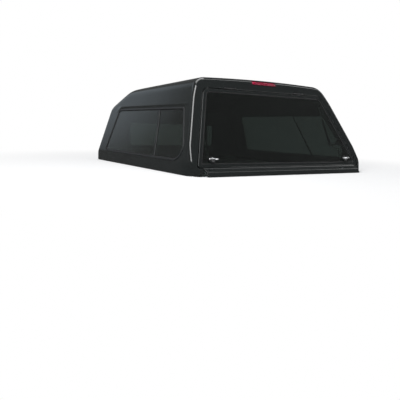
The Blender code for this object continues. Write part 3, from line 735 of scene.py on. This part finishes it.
def station(share, back, inset, base_z, outer):
    """One full cross-section, right side to left, in a plane that leans more towards the rear."""
    slope = REAR_SLOPE * share
    y_base = FRONT_Y + (REAR_Y - FRONT_Y) * share + back
    top = ROOF_REAR_Z
    for _ in range(6):
        top = roof_z(y_base + slope * top)
    half = inset_section(half_section(top, y_base + slope * top, base_z, outer), inset)
    points = []
    for x, z in half:
        y = y_base + slope * z
        behind = REAR_SLOPE * z - y
        tuck = TUCK * smooth((behind + TUCK_Y) / TUCK_RUN) * max(0.0, 1.0 - z / TUCK_Z)
        side = smooth((z - RIM_FOOT_Z) / RIM_FOOT_RUN) * smooth((RIM_HEAD_Z - z) / RIM_HEAD_RUN)
        rim = RIM_OUT * smooth((behind + RIM_Y) / RIM_RUN) * side if outer else 0.0
        points.append(Vector((x * (1.0 + (rim - tuck) / BASE_HALF), y, z)))
    return points + [Vector((-p.x, p.y, p.z)) for p in reversed(points[:-1])]


def rounding(radius, inset, gap, angles):
    """How far back and how deep an edge goes at each angle of its rounding."""
    reach = max(radius - inset, 0.004)
    return [(gap + reach * (1.0 - sin(a)), inset + reach * (1.0 - cos(a))) for a in angles]


def shell_body(inset, base_z, front_gap, rear_gap, last_share):
    """The moulding's outer form, or its hollow when it is inset, with rounded front and rear edges."""
    outer = inset == 0.0
    arc = [radians(90.0 * k / 12.0) for k in range(13)]
    stations = [(0.0, -back, deep) for back, deep in rounding(FRONT_ROUND, inset, front_gap, reversed(arc))]
    steps = 52
    stations += [(0.045 + (last_share - 0.045) * k / steps, 0.0, inset) for k in range(steps + 1)]
    if outer:
        stations += [(0.960 + 0.0025 * k, 0.0, 0.0) for k in range(10)]
    stations += [(1.0, back / cos(ALPHA), deep)
                 for back, deep in rounding(REAR_ROUND, inset, rear_gap, arc)]
    bm = bmesh.new()
    rows = [[bm.verts.new(p) for p in station(*s, base_z, outer)] for s in stations]
    count = len(rows[0])
    for a, b in zip(rows, rows[1:]):
        for i in range(count - 1):
            bm.faces.new((a[i], a[i + 1], b[i + 1], b[i]))
    bm.faces.new(rows[0])
    rear = rows[-1]
    low = sum(1 for v in rear[:count // 2] if v.co.z < 2.0 * LEAN_FROM_Z)
    for i in range(low):
        j = count - 1 - i
        bm.faces.new((rear[i], rear[i + 1], rear[j - 1], rear[j]))
    bm.faces.new(rear[low:count - low])
    bm.faces.new([row[0] for row in rows] + [row[-1] for row in reversed(rows)])
    return closed_mesh(bm)


def door_half(v):
    return DOOR_TOP_HALF + DOOR_SPREAD * v


def door_corners(v_top, v_bottom, grow=0.0):
    """The door's outline in its plane, counter-clockwise, made larger by grow."""
    top, bottom = door_half(v_top), door_half(v_bottom)
    corners = [(-top, v_top), (top, v_top), (bottom, v_bottom), (-bottom, v_bottom)]
    return move_edges(corners, [-grow] * 4)


def window_corners():
    """A side window's outline in its side's plane: front and sill square, rear edge raked."""
    low = (WINDOW_SILL_Z - LEAN_FROM_Z) / cos(BETA)
    high = (WINDOW_TOP_Z - LEAN_FROM_Z) / cos(BETA)
    rake = WINDOW_REAR_SLOPE * (WINDOW_TOP_Z - WINDOW_SILL_Z)
    front = WINDOW_FRONT_Y - WINDOW_FRONT_RAKE
    return [(WINDOW_REAR_Y, low), (WINDOW_FRONT_Y, low), (front, high), (WINDOW_REAR_Y + rake, high)]


WINDOWS = (
    ("left", window_corners(), WINDOW_RADII, side_matrix(-1), WINDOW_FLANGE, WINDOW_SIGHT),
    ("right", window_corners(), WINDOW_RADII, side_matrix(1), WINDOW_FLANGE, WINDOW_SIGHT),
    ("front", FRONT_WINDOW, FRONT_RADII, front_matrix(), FRONT_FLANGE, FRONT_SIGHT),
)


def door_seat(edge):
    """The cutter for the door's seat, flared at its mouth to leave a rounded edge."""
    corners = door_corners(DOOR_TOP_V, DOOR_FOOT_V, DOOR_GAP)
    levels = [(-RABBET_DEPTH, 0.0), (-edge, 0.0)]
    for k in range(1, 6):
        angle = radians(16.0 * k)
        levels.append((-edge + edge * sin(angle), edge * (1.0 - cos(angle))))
    levels.append((0.12, levels[-1][1] + 0.02))
    rings = [[(x, y, w) for x, y in outline(corners, -grow, DOOR_RADII, 14)] for w, grow in levels]
    return skin(rings, DOOR_PLACE)


def make_shell(sizes):
    shell = new_object("canopy_skin", shell_body(0.0, BASE_Z, 0.0, 0.0, 0.955))
    hollow = shell_body(WALL, BASE_Z + FLANGE_THICK, WALL, FRAME_DEPTH, 0.905)
    for mesh, name in ((shell.data, "outside"), (hollow, "lining")):
        mesh.materials.append(bpy.data.materials.new(name))
    cut(shell, hollow)
    shell.modifiers[0].material_mode = "TRANSFER"
    inner_x, inner_y = BASE_HALF - FLANGE_WIDTH, FRONT_Y - FLANGE_WIDTH
    well = [(-inner_x, REAR_Y - 0.30), (inner_x, REAR_Y - 0.30), (inner_x, inner_y), (-inner_x, inner_y)]
    cut(shell, prism(rounded(well, (0.002, 0.002, 0.05, 0.05)), -0.05, BASE_Z + FLANGE_THICK + 0.004))
    cut(shell, door_seat(sizes.door_edge))
    bottom = DOOR_FOOT_V
    way = outline(door_corners(DOOR_TOP_V, bottom, -LIP_WIDTH), 0.0, DOOR_RADII, 14)
    cut(shell, prism(way, -0.13, 0.13, DOOR_PLACE))
    # The skirt's slot reaches past the seat's floor, so that no two cutters share a face
    low = -RABBET_DEPTH - 0.0012
    cut(shell, block(0.0, SKIRT_HALF + DOOR_GAP, (bottom - 0.031, bottom + 0.163), (low, 0.131)))
    cut(shell, block(0.0, SKIRT_HALF - 0.008, (bottom - 0.05, bottom + 0.16), (-0.14, 0.135)))
    for word, corners, radii, matrix, flange, sight in WINDOWS:
        cut(shell, prism(outline(corners, flange + 0.0005, radii), -0.04, 0.04, matrix))
    for side, word in SIDES:
        cut(shell, block(side * HINGE_X, HINGE_HALF + 0.0025, (-0.012, 0.012), (-0.0105, 0.03)))
    cut(shell, block(0.0, LAMP_HALF + 0.0005, (LAMP_V[0] - 0.0005, LAMP_V[1] + 0.0005), (-0.024, 0.05)))
    settle(shell)
    lined = shell.data.attributes.new("lining", "FLOAT", "FACE")
    slots = [m.name.split(".")[0] for m in shell.data.materials]
    for face, mark in zip(shell.data.polygons, lined.data):
        mark.value = 1.0 if slots[face.material_index] == "lining" else 0.0
        face.material_index = 0
    dress(shell, "gelcoat", SHELL, "shell")


# Windows and seals
def swept(name, tree, path, profile, matrix, slot, replaced):
    """A trim of an (inset, height) profile round a path in a plane."""
    guide, section = path_object(path), path_object([(-inset, -height) for inset, height in profile])
    tree.grow(name, matrix, slot, replaced, Path=guide, Profile=section)
    drop(guide, section)


def make_screw(sizes):
    """A pan head with a hexagon socket, as an object for a tree to repeat."""
    radius = 0.5 * sizes.screw_head
    key = 0.42 * radius
    turns = circle(12)
    rings = [[(radius * r * c, radius * r * s, radius * z) for c, s in turns]
             for r, z in ((1.0, 0.0), (1.0, 0.18), (0.90, 0.42), (0.62, 0.56))]
    for r, z in ((1.08, 0.57), (1.0, 0.20)):
        flats = [key * r * (cos(pi / 6) if i % 2 else 1.0) for i in range(12)]
        rings.append([(flat * c, flat * s, radius * z) for flat, (c, s) in zip(flats, turns)])
    return new_object("screw", skin(rings))


def screw_ring(name, tree, screw, pitch, path, matrix, seed):
    """Screws all round a clamp ring, heads on its inner face."""
    way = sum((Vector(a) - Vector(b)).length for a, b in zip(path, path[1:] + path[:1]))
    guide = path_object(path)
    tree.grow(name, matrix, "steel", angle=50.0, Path=guide, Screw=screw, Count=round(way / pitch), Seed=seed)
    drop(guide)


def panes(word, corners, radii, matrix, edge):
    """A fixed front pane, a raked divider and the sliding pane behind it, for one side window."""
    low, high = corners[0][1], corners[2][1]
    foot = Vector((DIVIDER_Y, low))
    head = Vector((DIVIDER_Y + DIVIDER_SLOPE * cos(BETA) * (high - low), high))
    half = Vector((0.010, 0.0))
    a, b, c, d = (tuple(p) for p in (foot - half, foot + half, head + half, head - half))
    bar = move_edges((a, b, c, d), (edge, 0.0, edge, 0.0))
    divider = new_object(word + "_divider_bar", prism(bar, -0.0095, 0.0010, matrix))
    bevel(divider, 0.0012, 2)
    dress(divider, "black_frame", SHELL, word + "_window_divider")
    gap, tight = 0.0006, 0.002
    for name, node, shape, insets, bends, depths in (
            ("_fixed_glass", "_front_pane", (b, corners[1], corners[2], c), (edge, edge, edge, gap),
             (tight, radii[1] - edge, radii[2] - edge, tight), FIXED_PANE),
            ("_sliding_glass", "_slider_pane", (corners[0], a, d, corners[3]), (edge, gap, edge, edge),
             (radii[0] - edge, tight, tight, radii[3] - edge), SLIDING_PANE)):
        glass = prism(rounded(move_edges(shape, insets), bends), *depths, matrix)
        piece(word + name, glass, "tinted_glass", SHELL, word + node)


def window_sections(web, sight):
    """Profiles of a window's trim, clamp ring and glazing bead, with their finishes and nodes."""
    trim = [(0.0, 0.0003), (0.0, 0.0045), (sight, 0.0045), (sight, -0.012), (web, -0.012), (web, 0.0003)]
    wall = -WALL - 0.0003
    ring = [(-0.006, wall), (web - 0.0005, wall), (web - 0.0005, CLAMP_FACE), (-0.006, CLAMP_FACE)]
    bead = [(0.0002, 0.0030), (0.0040, 0.0020), (0.0065, -0.0015), (0.0065, -0.0095), (0.0002, -0.0105)]
    bead = [(sight + inset, height) for inset, height in bead]
    return (("_window_trim", "black_frame", "_window_frame",
             rounded(trim, (0.0002, 0.0030, 0.0014, 0.0008, 0.0006, 0.0002), 5)),
            ("_clamp_ring", "black_frame", "_window_clamp",
             rounded(ring, (0.0003, 0.0003, 0.0012, 0.0012), 3)),
            ("_glazing_bead", "rubber", "_window_gasket",
             rounded(bead, (0.0004, 0.0015, 0.0004, 0.0004, 0.0004), 3)))


def make_windows(sizes):
    """All three windows; the front one keeps its packed ring, gasket and glass."""
    sweep, rows, screw = sweep_tree(), screw_tree(), make_screw(sizes)
    inner_face = Matrix.Translation((0.0, 0.0, CLAMP_FACE)) @ Matrix.Scale(-1.0, 4, (0.0, 0.0, 1.0))
    for seed, (word, corners, radii, matrix, flange, sight) in enumerate(WINDOWS):
        web = flange + 0.0008
        path = outline(corners, 0.0, radii, 14)
        sections = window_sections(web, sight)
        for name, slot, node, profile in sections[:1] if word == "front" else sections:
            swept(word + name, sweep, path, profile, matrix, slot, word + node)
        screw_ring(word + "_clamp_screws", rows, screw, sizes.screw_pitch, outline(corners, 0.5 * web, radii),
                   matrix @ inner_face, seed)
        if word != "front":
            panes(word, corners, radii, matrix, sight + 0.0066)
    drop(screw)
    paint_nodes("black_frame", "front_window_clamp")
    paint_nodes("rubber", "front_window_gasket")
    paint_nodes("tinted_glass", "front_window_glass")


def make_rail_seal():
    """The foam strip between the shell's flange and the bed rails: two sides and the front."""
    outer_x, inner_x = BASE_HALF - 0.010, BASE_HALF - 0.048
    outer_y, inner_y, rear_y = FRONT_Y - 0.010, FRONT_Y - 0.048, TUCK_Y - 0.02
    ends = [(outer_x, rear_y), (outer_x, outer_y), (-outer_x, outer_y), (-outer_x, rear_y)]
    front_corners = rounded(ends, (0.001, 0.045, 0.045, 0.001))[11:33]
    shape = [(-outer_x, rear_y), (-inner_x, rear_y), (-inner_x, inner_y), (inner_x, inner_y),
             (inner_x, rear_y), (outer_x, rear_y)] + front_corners
    piece("rail_foam", prism(shape, 0.0, BASE_Z - 0.0003), "rubber", SHELL, "rail_seal")


# Rear door
def spline(points, steps=4):
    """More points on a smooth line through the given ones."""
    ends = [Vector(p) for p in [points[0]] + list(points) + [points[-1]]]
    line = []
    for a, b, c, d in zip(ends, ends[1:], ends[2:], ends[3:]):
        for k in range(steps):
            t = k / steps
            line.append(tuple(0.5 * (2.0 * b + (c - a) * t + (2.0 * a - 5.0 * b + 4.0 * c - d) * t ** 2
                                     + (3.0 * b - a - 3.0 * c + d) * t ** 3)))
    return line + [tuple(points[-1])]


def make_door(sizes):
    corners = door_corners(DOOR_TOP_V, DOOR_FOOT_V)
    width, depth, edge = DOOR_BAR_WIDTH, DOOR_BAR_DEPTH, sizes.frame_edge
    section = [(0.0, -depth), (0.0, 0.0), (width, 0.0), (width, -depth)]
    ring = nested(corners, DOOR_RADII, rounded(section, (0.001, edge, 0.5 * edge, 0.001), 6), DOOR_PLACE)
    piece("door_frame_moulding", ring, "gelcoat", DOOR, "door_frame")
    section = [(0.0002, -0.0010), (0.0050, -0.0010), (0.0080, -0.0030), (0.0080, -0.0110), (0.0002, -0.0120)]
    section = [(width + inset, w) for inset, w in section]
    section = rounded(section, (0.0004, 0.0016, 0.0006, 0.0004, 0.0004), 3)
    bead = nested(corners, DOOR_RADII, section, DOOR_PLACE)
    piece("door_glazing_bead", bead, "rubber", DOOR, "door_gasket")
    glass = prism(outline(corners, width + 0.0082, DOOR_RADII, 16), *REAR_PANE, DOOR_PLACE)
    pane = new_object("rear_pane", glass)
    for side, word in SIDES:
        cut(pane, turned(((-0.03, 0.0085), (0.03, 0.0085)), (side * HANDLE_X, HANDLE_V, 0.0)))
    settle(pane)
    dress(pane, "tinted_glass", DOOR, "door_glass")
    paint_pairs("black_frame", "_hinge_door_leaf", "_hinge_shell_leaf")


def make_skirt(sizes):
    """The moulded skirt under the glass, which laps over the tailgate, with its wiper seal."""
    top = DOOR_FOOT_V + 0.0003
    face = [(0.0, -0.0005), (0.009, 0.0020), (0.022, 0.0105), (0.035, 0.0215), (0.044, 0.0285),
            (0.050, 0.0312), (0.056, 0.0318), (0.070, 0.0318), (0.0848, 0.0314)]
    back = [(0.0806, 0.0232), (0.058, 0.0240), (0.048, 0.0200), (0.036, 0.0080), (0.024, -0.0020),
            (0.0, -DOOR_BAR_DEPTH)]
    shape = [(top + v, w) for v, w in spline(face) + spline(back)]
    rings = [[(share * SKIRT_HALF, v, w) for v, w in shape] for share in (-1.0, -0.5, 0.0, 0.5, 1.0)]
    skirt = new_object("door_skirt_moulding", skin(rings, DOOR_PLACE))
    bevel(skirt, sizes.skirt_edge)
    dress(skirt, "gelcoat", DOOR, "door_skirt")
    strip = [(0.058, 0.0140), (0.072, 0.0140), (0.074, 0.0190), (0.072, 0.0228), (0.058, 0.0236)]
    rings = [[(side * (SKIRT_HALF - 0.012), top + v, w) for v, w in strip] for side in (-1, 1)]
    piece("tailgate_wiper", skin(rings, DOOR_PLACE), "rubber", DOOR, "tailgate_seal")


def make_door_seal():
    """A bulb seal on the jamb's lip, down both sides and over the top."""
    low = -RABBET_DEPTH
    bulb = [(0.0, low + 0.0003), (0.0080, low + 0.0003), (0.0080, low + 0.0018)]
    for k in range(9):
        angle = pi * k / 8
        bulb.append((0.0040 + 0.0036 * cos(angle), low + 0.0022 + 0.0042 * sin(angle)))
    bulb.append((0.0, low + 0.0018))
    foot_v = DOOR_FOOT_V - 0.034
    loops = []
    for inset, height in bulb:
        corners = door_corners(DOOR_TOP_V, DOOR_FOOT_V, -0.003 - inset)
        top_corners = rounded(corners, [max(r - 0.003 - inset, 0.002) for r in DOOR_RADII], 16)[:34]
        share = (foot_v - corners[1][1]) / (corners[2][1] - corners[1][1])
        foot_x = corners[1][0] + (corners[2][0] - corners[1][0]) * share
        loops.append([(x, v, height) for x, v in [(-foot_x, foot_v)] + top_corners + [(foot_x, foot_v)]])
    piece("jamb_seal", skin(zip(*loops), DOOR_PLACE), "rubber", SHELL, "door_seal")


# Handles and brake light
def make_handle(side, word):
    """A T-handle with its rosette, lock plug and latch arm."""
    x, v = side * HANDLE_X, HANDLE_V
    centre, body = (x, v, 0.0), word + "_handle_turn"
    stem = [(-0.0435, 0.0001), (-0.0435, 0.0058), (0.0062, 0.0058), (0.0065, 0.0150), (0.0072, 0.0158)]
    stem += spline([(0.0080, 0.0158), (0.0105, 0.0128), (0.0140, 0.0098), (0.0200, 0.0088)])
    handle = new_object(word + "_t_handle", turned(stem + [(0.0200, 0.0001)], centre))
    rings = []
    for k in range(25):
        t = -1.0 + k / 12.0
        size = (0.0068 - 0.0022 * t * t) * sqrt(max(0.02, 1.0 - abs(t) ** 14))
        rings.append([(x + 0.040 * t, v + 1.15 * size * c, 0.0195 + size * s) for c, s in circle(28)])
    cut(handle, skin(rings, DOOR_PLACE), "UNION")
    settle(handle)
    dress(handle, "chrome", body, word + "_handle")
    shape = [(0.0070, -0.0037), (0.0260, -0.0037), (0.0260, 0.0040), (0.0070, 0.0040)]
    profile = rounded(shape, (0.0004, 0.0004, 0.0030, 0.0008), 5)
    rings = [[(x + r * c, v + r * s, w) for r, w in profile] for c, s in circle(56)]
    base = skin(rings, DOOR_PLACE, closed=True)
    piece(word + "_handle_rosette", base, "black_frame", DOOR, word + "_handle_escutcheon")
    plug = [(0.0262, 0.0001), (0.0262, 0.0056), (0.0272, 0.0056), (0.0276, 0.0051), (0.0276, 0.0001)]
    lock = new_object(word + "_lock_plug", turned(plug, centre, 32))
    cut(lock, block(x, 0.0030, (v - 0.0006, v + 0.0006), (0.0268, 0.03)))
    settle(lock)
    dress(lock, "chrome", body)
    reach = PAWL_LENGTH
    shape = [(-0.011, 0.011), (0.011, 0.011), (0.011, -0.6 * reach), (0.009, -reach), (-0.009, -reach),
             (-0.011, -0.6 * reach)]
    shape = [(x + a, v + b) for a, b in rounded(shape, (0.008, 0.008, 0.02, 0.004, 0.004, 0.02), 6)]
    pawl = new_object(word + "_latch_arm", prism(shape, -0.0485, -0.0438, DOOR_PLACE))
    bevel(pawl, 0.0006, 2)
    dress(pawl, "steel", body, word + "_pawl")


def make_brake_light(sizes):
    """A clear red cover over a bright ribbed reflector."""
    low, high = LAMP_V
    face = [(low, -0.0117), (low + 0.002, -0.0080), (low + 0.010, -0.0010), (high - 0.014, 0.0062),
            (high - 0.004, 0.0055), (high, 0.0020)]
    shape = spline(face, 3) + [(high, -0.0067)]
    rings = []
    for k in range(17):
        t = -1.0 + k / 8.0
        sink = 0.0040 * smooth((abs(t) - 0.90) / 0.10)
        rings.append([(t * LAMP_HALF, v, max(w - sink, -0.0115 + 0.13 * (v - low))) for v, w in shape])
    piece("brake_light_cover", skin(rings, DOOR_PLACE), "red_lens", SHELL, "brake_light_lens")
    half = LAMP_HALF - 0.006
    foot, head = low + 0.004, high - 0.003
    count = round(2.0 * half / sizes.rib_pitch)
    rings = []
    for k in range(2 * count + 1):
        x, lift = (k / count - 1.0) * half, 0.0016 * (k % 2)
        rings.append([(x, foot, -0.0126), (x, head, -0.0076), (x, head, -0.0062 + lift),
                      (x, foot, -0.0112 + lift)])
    piece("brake_light_reflector", skin(rings, DOOR_PLACE), "chrome", SHELL, angle=20.0)
    paint_nodes("black_plastic", "brake_light_housing")


# Studio
FLOOR_Z = -0.0005
LAMPS = (
    ("key", (-2.8, -1.9, 3.3), (-0.7, -0.6, 0.4), (1.7, 4.2), 200.0),
    ("edge", (3.0, -0.9, 3.2), (0.0, -0.9, 0.0), (0.55, 4.8), 26.0),
    ("fill", (3.4, -4.4, 1.0), (0.3, -0.8, 0.2), (2.2, 1.0), 40.0),
    ("top", (0.0, 0.6, 4.5), (0.0, 0.2, 0.4), (3.0, 2.0), 70.0),
)


def add_lamp(name, place, target, size, watts):
    """A soft box that faces a point."""
    light = bpy.data.lights.new(name, "AREA")
    light.shape = "RECTANGLE"
    light.size, light.size_y = size
    light.energy = watts
    lamp = new_object(name, light)
    lamp.location = place
    lamp.rotation_euler = (Vector(target) - Vector(place)).to_track_quat("-Z", "Y").to_euler()


def surroundings(graph, studio):
    """Where the camera or a pane looks, where a reflection looks, and how bright plain white is for each."""
    camera, through, glossy, mirrored = (
        graph.add("LightPath", out="Is %s Ray" % kind)
        for kind in ("Camera", "Transmission", "Glossy", "Reflection"))
    seen, glossy = camera + through, glossy * mirrored
    return seen, glossy, seen + glossy * studio.mirror


def make_world(studio):
    """White where it is seen, dim room light elsewhere, and a pale haze ahead in the reflections."""
    world = bpy.data.worlds.new("studio")
    world.use_nodes = True
    world.node_tree.nodes.clear()
    g = Graph(world.node_tree)
    seen, glossy, bright = surroundings(g, studio)
    way = g.add("TexCoord", out="Generated")
    ahead = g.add("VectorMath", {"operation": "DOT_PRODUCT"}, {0: way, 1: (-0.15, 0.939, 0.31)},
                  out="Value")
    room, white, haze = (
        g.add("Background", None, {"Color": tone, "Strength": strength}) for tone, strength in (
            ((0.85, 0.90, 1.0, 1.0), 0.25), ((1.0, 1.0, 1.0, 1.0), bright),
            ((0.75, 0.88, 1.0, 1.0), glossy * ahead.above(0.981, 0.012) * 0.42)))
    both = g.add("MixShader", None, {0: seen + glossy, 1: room, 2: white})
    both = g.add("AddShader", None, {0: both, 1: haze})
    sink = g.tree.nodes.new("ShaderNodeOutputWorld")
    g.put(sink.inputs["Surface"], both)
    bpy.context.scene.world = world


def make_floor(studio):
    """A pale floor that takes the shadow near the object and runs out into plain white."""
    half = 0.5 * studio.floor
    corners = ((-half, -half), (half, -half), (half, half), (-half, half))
    mesh = bpy.data.meshes.new("floor")
    mesh.from_pydata([(x, y, FLOOR_Z) for x, y in corners], [], [(0, 1, 2, 3)])
    floor = new_object("floor", mesh)
    s = Shader(Base_Color=(0.80, 0.80, 0.80, 1.0), Roughness=0.9)
    away = s.add("VectorMath", {"operation": "LENGTH"}, {0: s.place}, out="Value")
    parts = s.add("VectorMath", {"operation": "ABSOLUTE"}, {0: s.place})
    x, y = (s.add("SeparateXYZ", None, {0: parts}, out=label) for label in ("X", "Y"))
    outside = x.math("MAXIMUM", x / BASE_HALF, y / FRONT_Y).above(1.0, 0.03)
    white = (away.above(studio.clearing, 0.5 * studio.clearing) * 0.55 + 0.45) * outside
    seen, glossy, bright = surroundings(s, studio)
    glow = s.add("Emission", None, {"Color": (1.0, 1.0, 1.0, 1.0), "Strength": bright})
    both = s.add("MixShader", None,
                 {0: seen * white + glossy, 1: Value(s, s.surface.outputs[0]), 2: glow})
    s.put(s.tree.nodes["Material Output"].inputs["Surface"], both)
    mesh.materials.append(s.material)


def make_camera(studio):
    """The photograph's view: its place, turn, tilt and roll."""
    sine, cosine = sin(studio.yaw), cos(studio.yaw)
    ahead = Vector((sine * cos(studio.pitch), cosine * cos(studio.pitch), -sin(studio.pitch)))
    level = Vector((cosine, -sine, 0.0))
    above = level.cross(ahead)
    right = level * cos(studio.roll) + above * sin(studio.roll)
    up = above * cos(studio.roll) - level * sin(studio.roll)
    data = bpy.data.cameras.new("camera")
    data.sensor_width = 36.0
    data.lens = studio.focal
    data.shift_x, data.shift_y = studio.shift
    camera = new_object("camera", data)
    camera.matrix_world = placing((right, up, -ahead), studio.camera_place)
    bpy.context.scene.camera = camera


def make_stage(studio):
    make_world(studio)
    make_floor(studio)
    make_camera(studio)
    for lamp in LAMPS:
        add_lamp(*lamp)
    bpy.context.scene.view_settings.view_transform = "Standard"


# Operators
class CanopyPiece:
    """What the operators share."""
    bl_options = {"REGISTER", "UNDO"}

    def execute(self, context):
        self.make(context.scene.canopy_sizes)
        return {"FINISHED"}


class CANOPY_OT_stage(CanopyPiece, bpy.types.Operator):
    """Lay the floor and set the light and the camera"""
    bl_idname = "canopy.stage"
    bl_label = "Stage"

    def make(self, sizes):
        make_stage(bpy.context.scene.canopy_studio)


class CANOPY_OT_shell(CanopyPiece, bpy.types.Operator):
    """Mould the gelcoat shell with its openings"""
    bl_idname = "canopy.shell"
    bl_label = "Shell"

    def make(self, sizes):
        make_shell(sizes)


class CANOPY_OT_windows(CanopyPiece, bpy.types.Operator):
    """Fit the side and front windows with their trims and screws, and the rail seal"""
    bl_idname = "canopy.windows"
    bl_label = "Windows"

    def make(self, sizes):
        make_windows(sizes)
        make_rail_seal()


class CANOPY_OT_door(CanopyPiece, bpy.types.Operator):
    """Make the rear door with its frame, skirt, seals and hinges"""
    bl_idname = "canopy.door"
    bl_label = "Rear door"

    def make(self, sizes):
        make_door(sizes)
        make_skirt(sizes)
        make_door_seal()


class CANOPY_OT_handles(CanopyPiece, bpy.types.Operator):
    """Make the two locking T-handles"""
    bl_idname = "canopy.handles"
    bl_label = "Handles"

    def make(self, sizes):
        for side, word in SIDES:
            make_handle(side, word)


class CANOPY_OT_struts(CanopyPiece, bpy.types.Operator):
    """Finish the gas struts and their brackets"""
    bl_idname = "canopy.struts"
    bl_label = "Struts"

    def make(self, sizes):
        paint_pairs("black_frame", "_strut_tube")
        paint_pairs("bright_steel", "_strut_rod")
        paint_pairs("steel", "_strut_shell_bracket", "_strut_door_bracket")


class CANOPY_OT_brake_light(CanopyPiece, bpy.types.Operator):
    """Make the high-level brake light"""
    bl_idname = "canopy.brake_light"
    bl_label = "Brake light"

    def make(self, sizes):
        make_brake_light(sizes)


STEPS = (CANOPY_OT_stage, CANOPY_OT_shell, CANOPY_OT_windows, CANOPY_OT_door, CANOPY_OT_handles,
         CANOPY_OT_struts, CANOPY_OT_brake_light)


class CANOPY_PT_panel(bpy.types.Panel):
    """The sidebar panel with the sizes, colours and steps"""
    bl_idname = "CANOPY_PT_panel"
    bl_label = "Pickup Canopy"
    bl_space_type = "VIEW_3D"
    bl_region_type = "UI"
    bl_category = "Canopy"

    def draw(self, context):
        for group in (context.scene.canopy_sizes, context.scene.canopy_colours, context.scene.canopy_studio):
            for name in group.__annotations__:
                self.layout.prop(group, name)
        for step in STEPS:
            self.layout.operator(step.bl_idname)


GROUPS = (("canopy_sizes", CanopySizes), ("canopy_colours", CanopyColours), ("canopy_studio", CanopyStudio))


def register():
    for name, group in GROUPS:
        bpy.utils.register_class(group)
        setattr(bpy.types.Scene, name, bpy.props.PointerProperty(type=group))
    for step in STEPS:
        bpy.utils.register_class(step)
    bpy.utils.register_class(CANOPY_PT_panel)


def unregister():
    bpy.utils.unregister_class(CANOPY_PT_panel)
    for step in reversed(STEPS):
        bpy.utils.unregister_class(step)
    for name, group in reversed(GROUPS):
        delattr(bpy.types.Scene, name)
        bpy.utils.unregister_class(group)


def main():
    register()
    for step in STEPS:
        family, name = step.bl_idname.split(".")
        getattr(getattr(bpy.ops, family), name)()


if __name__ == "__main__":
    main()
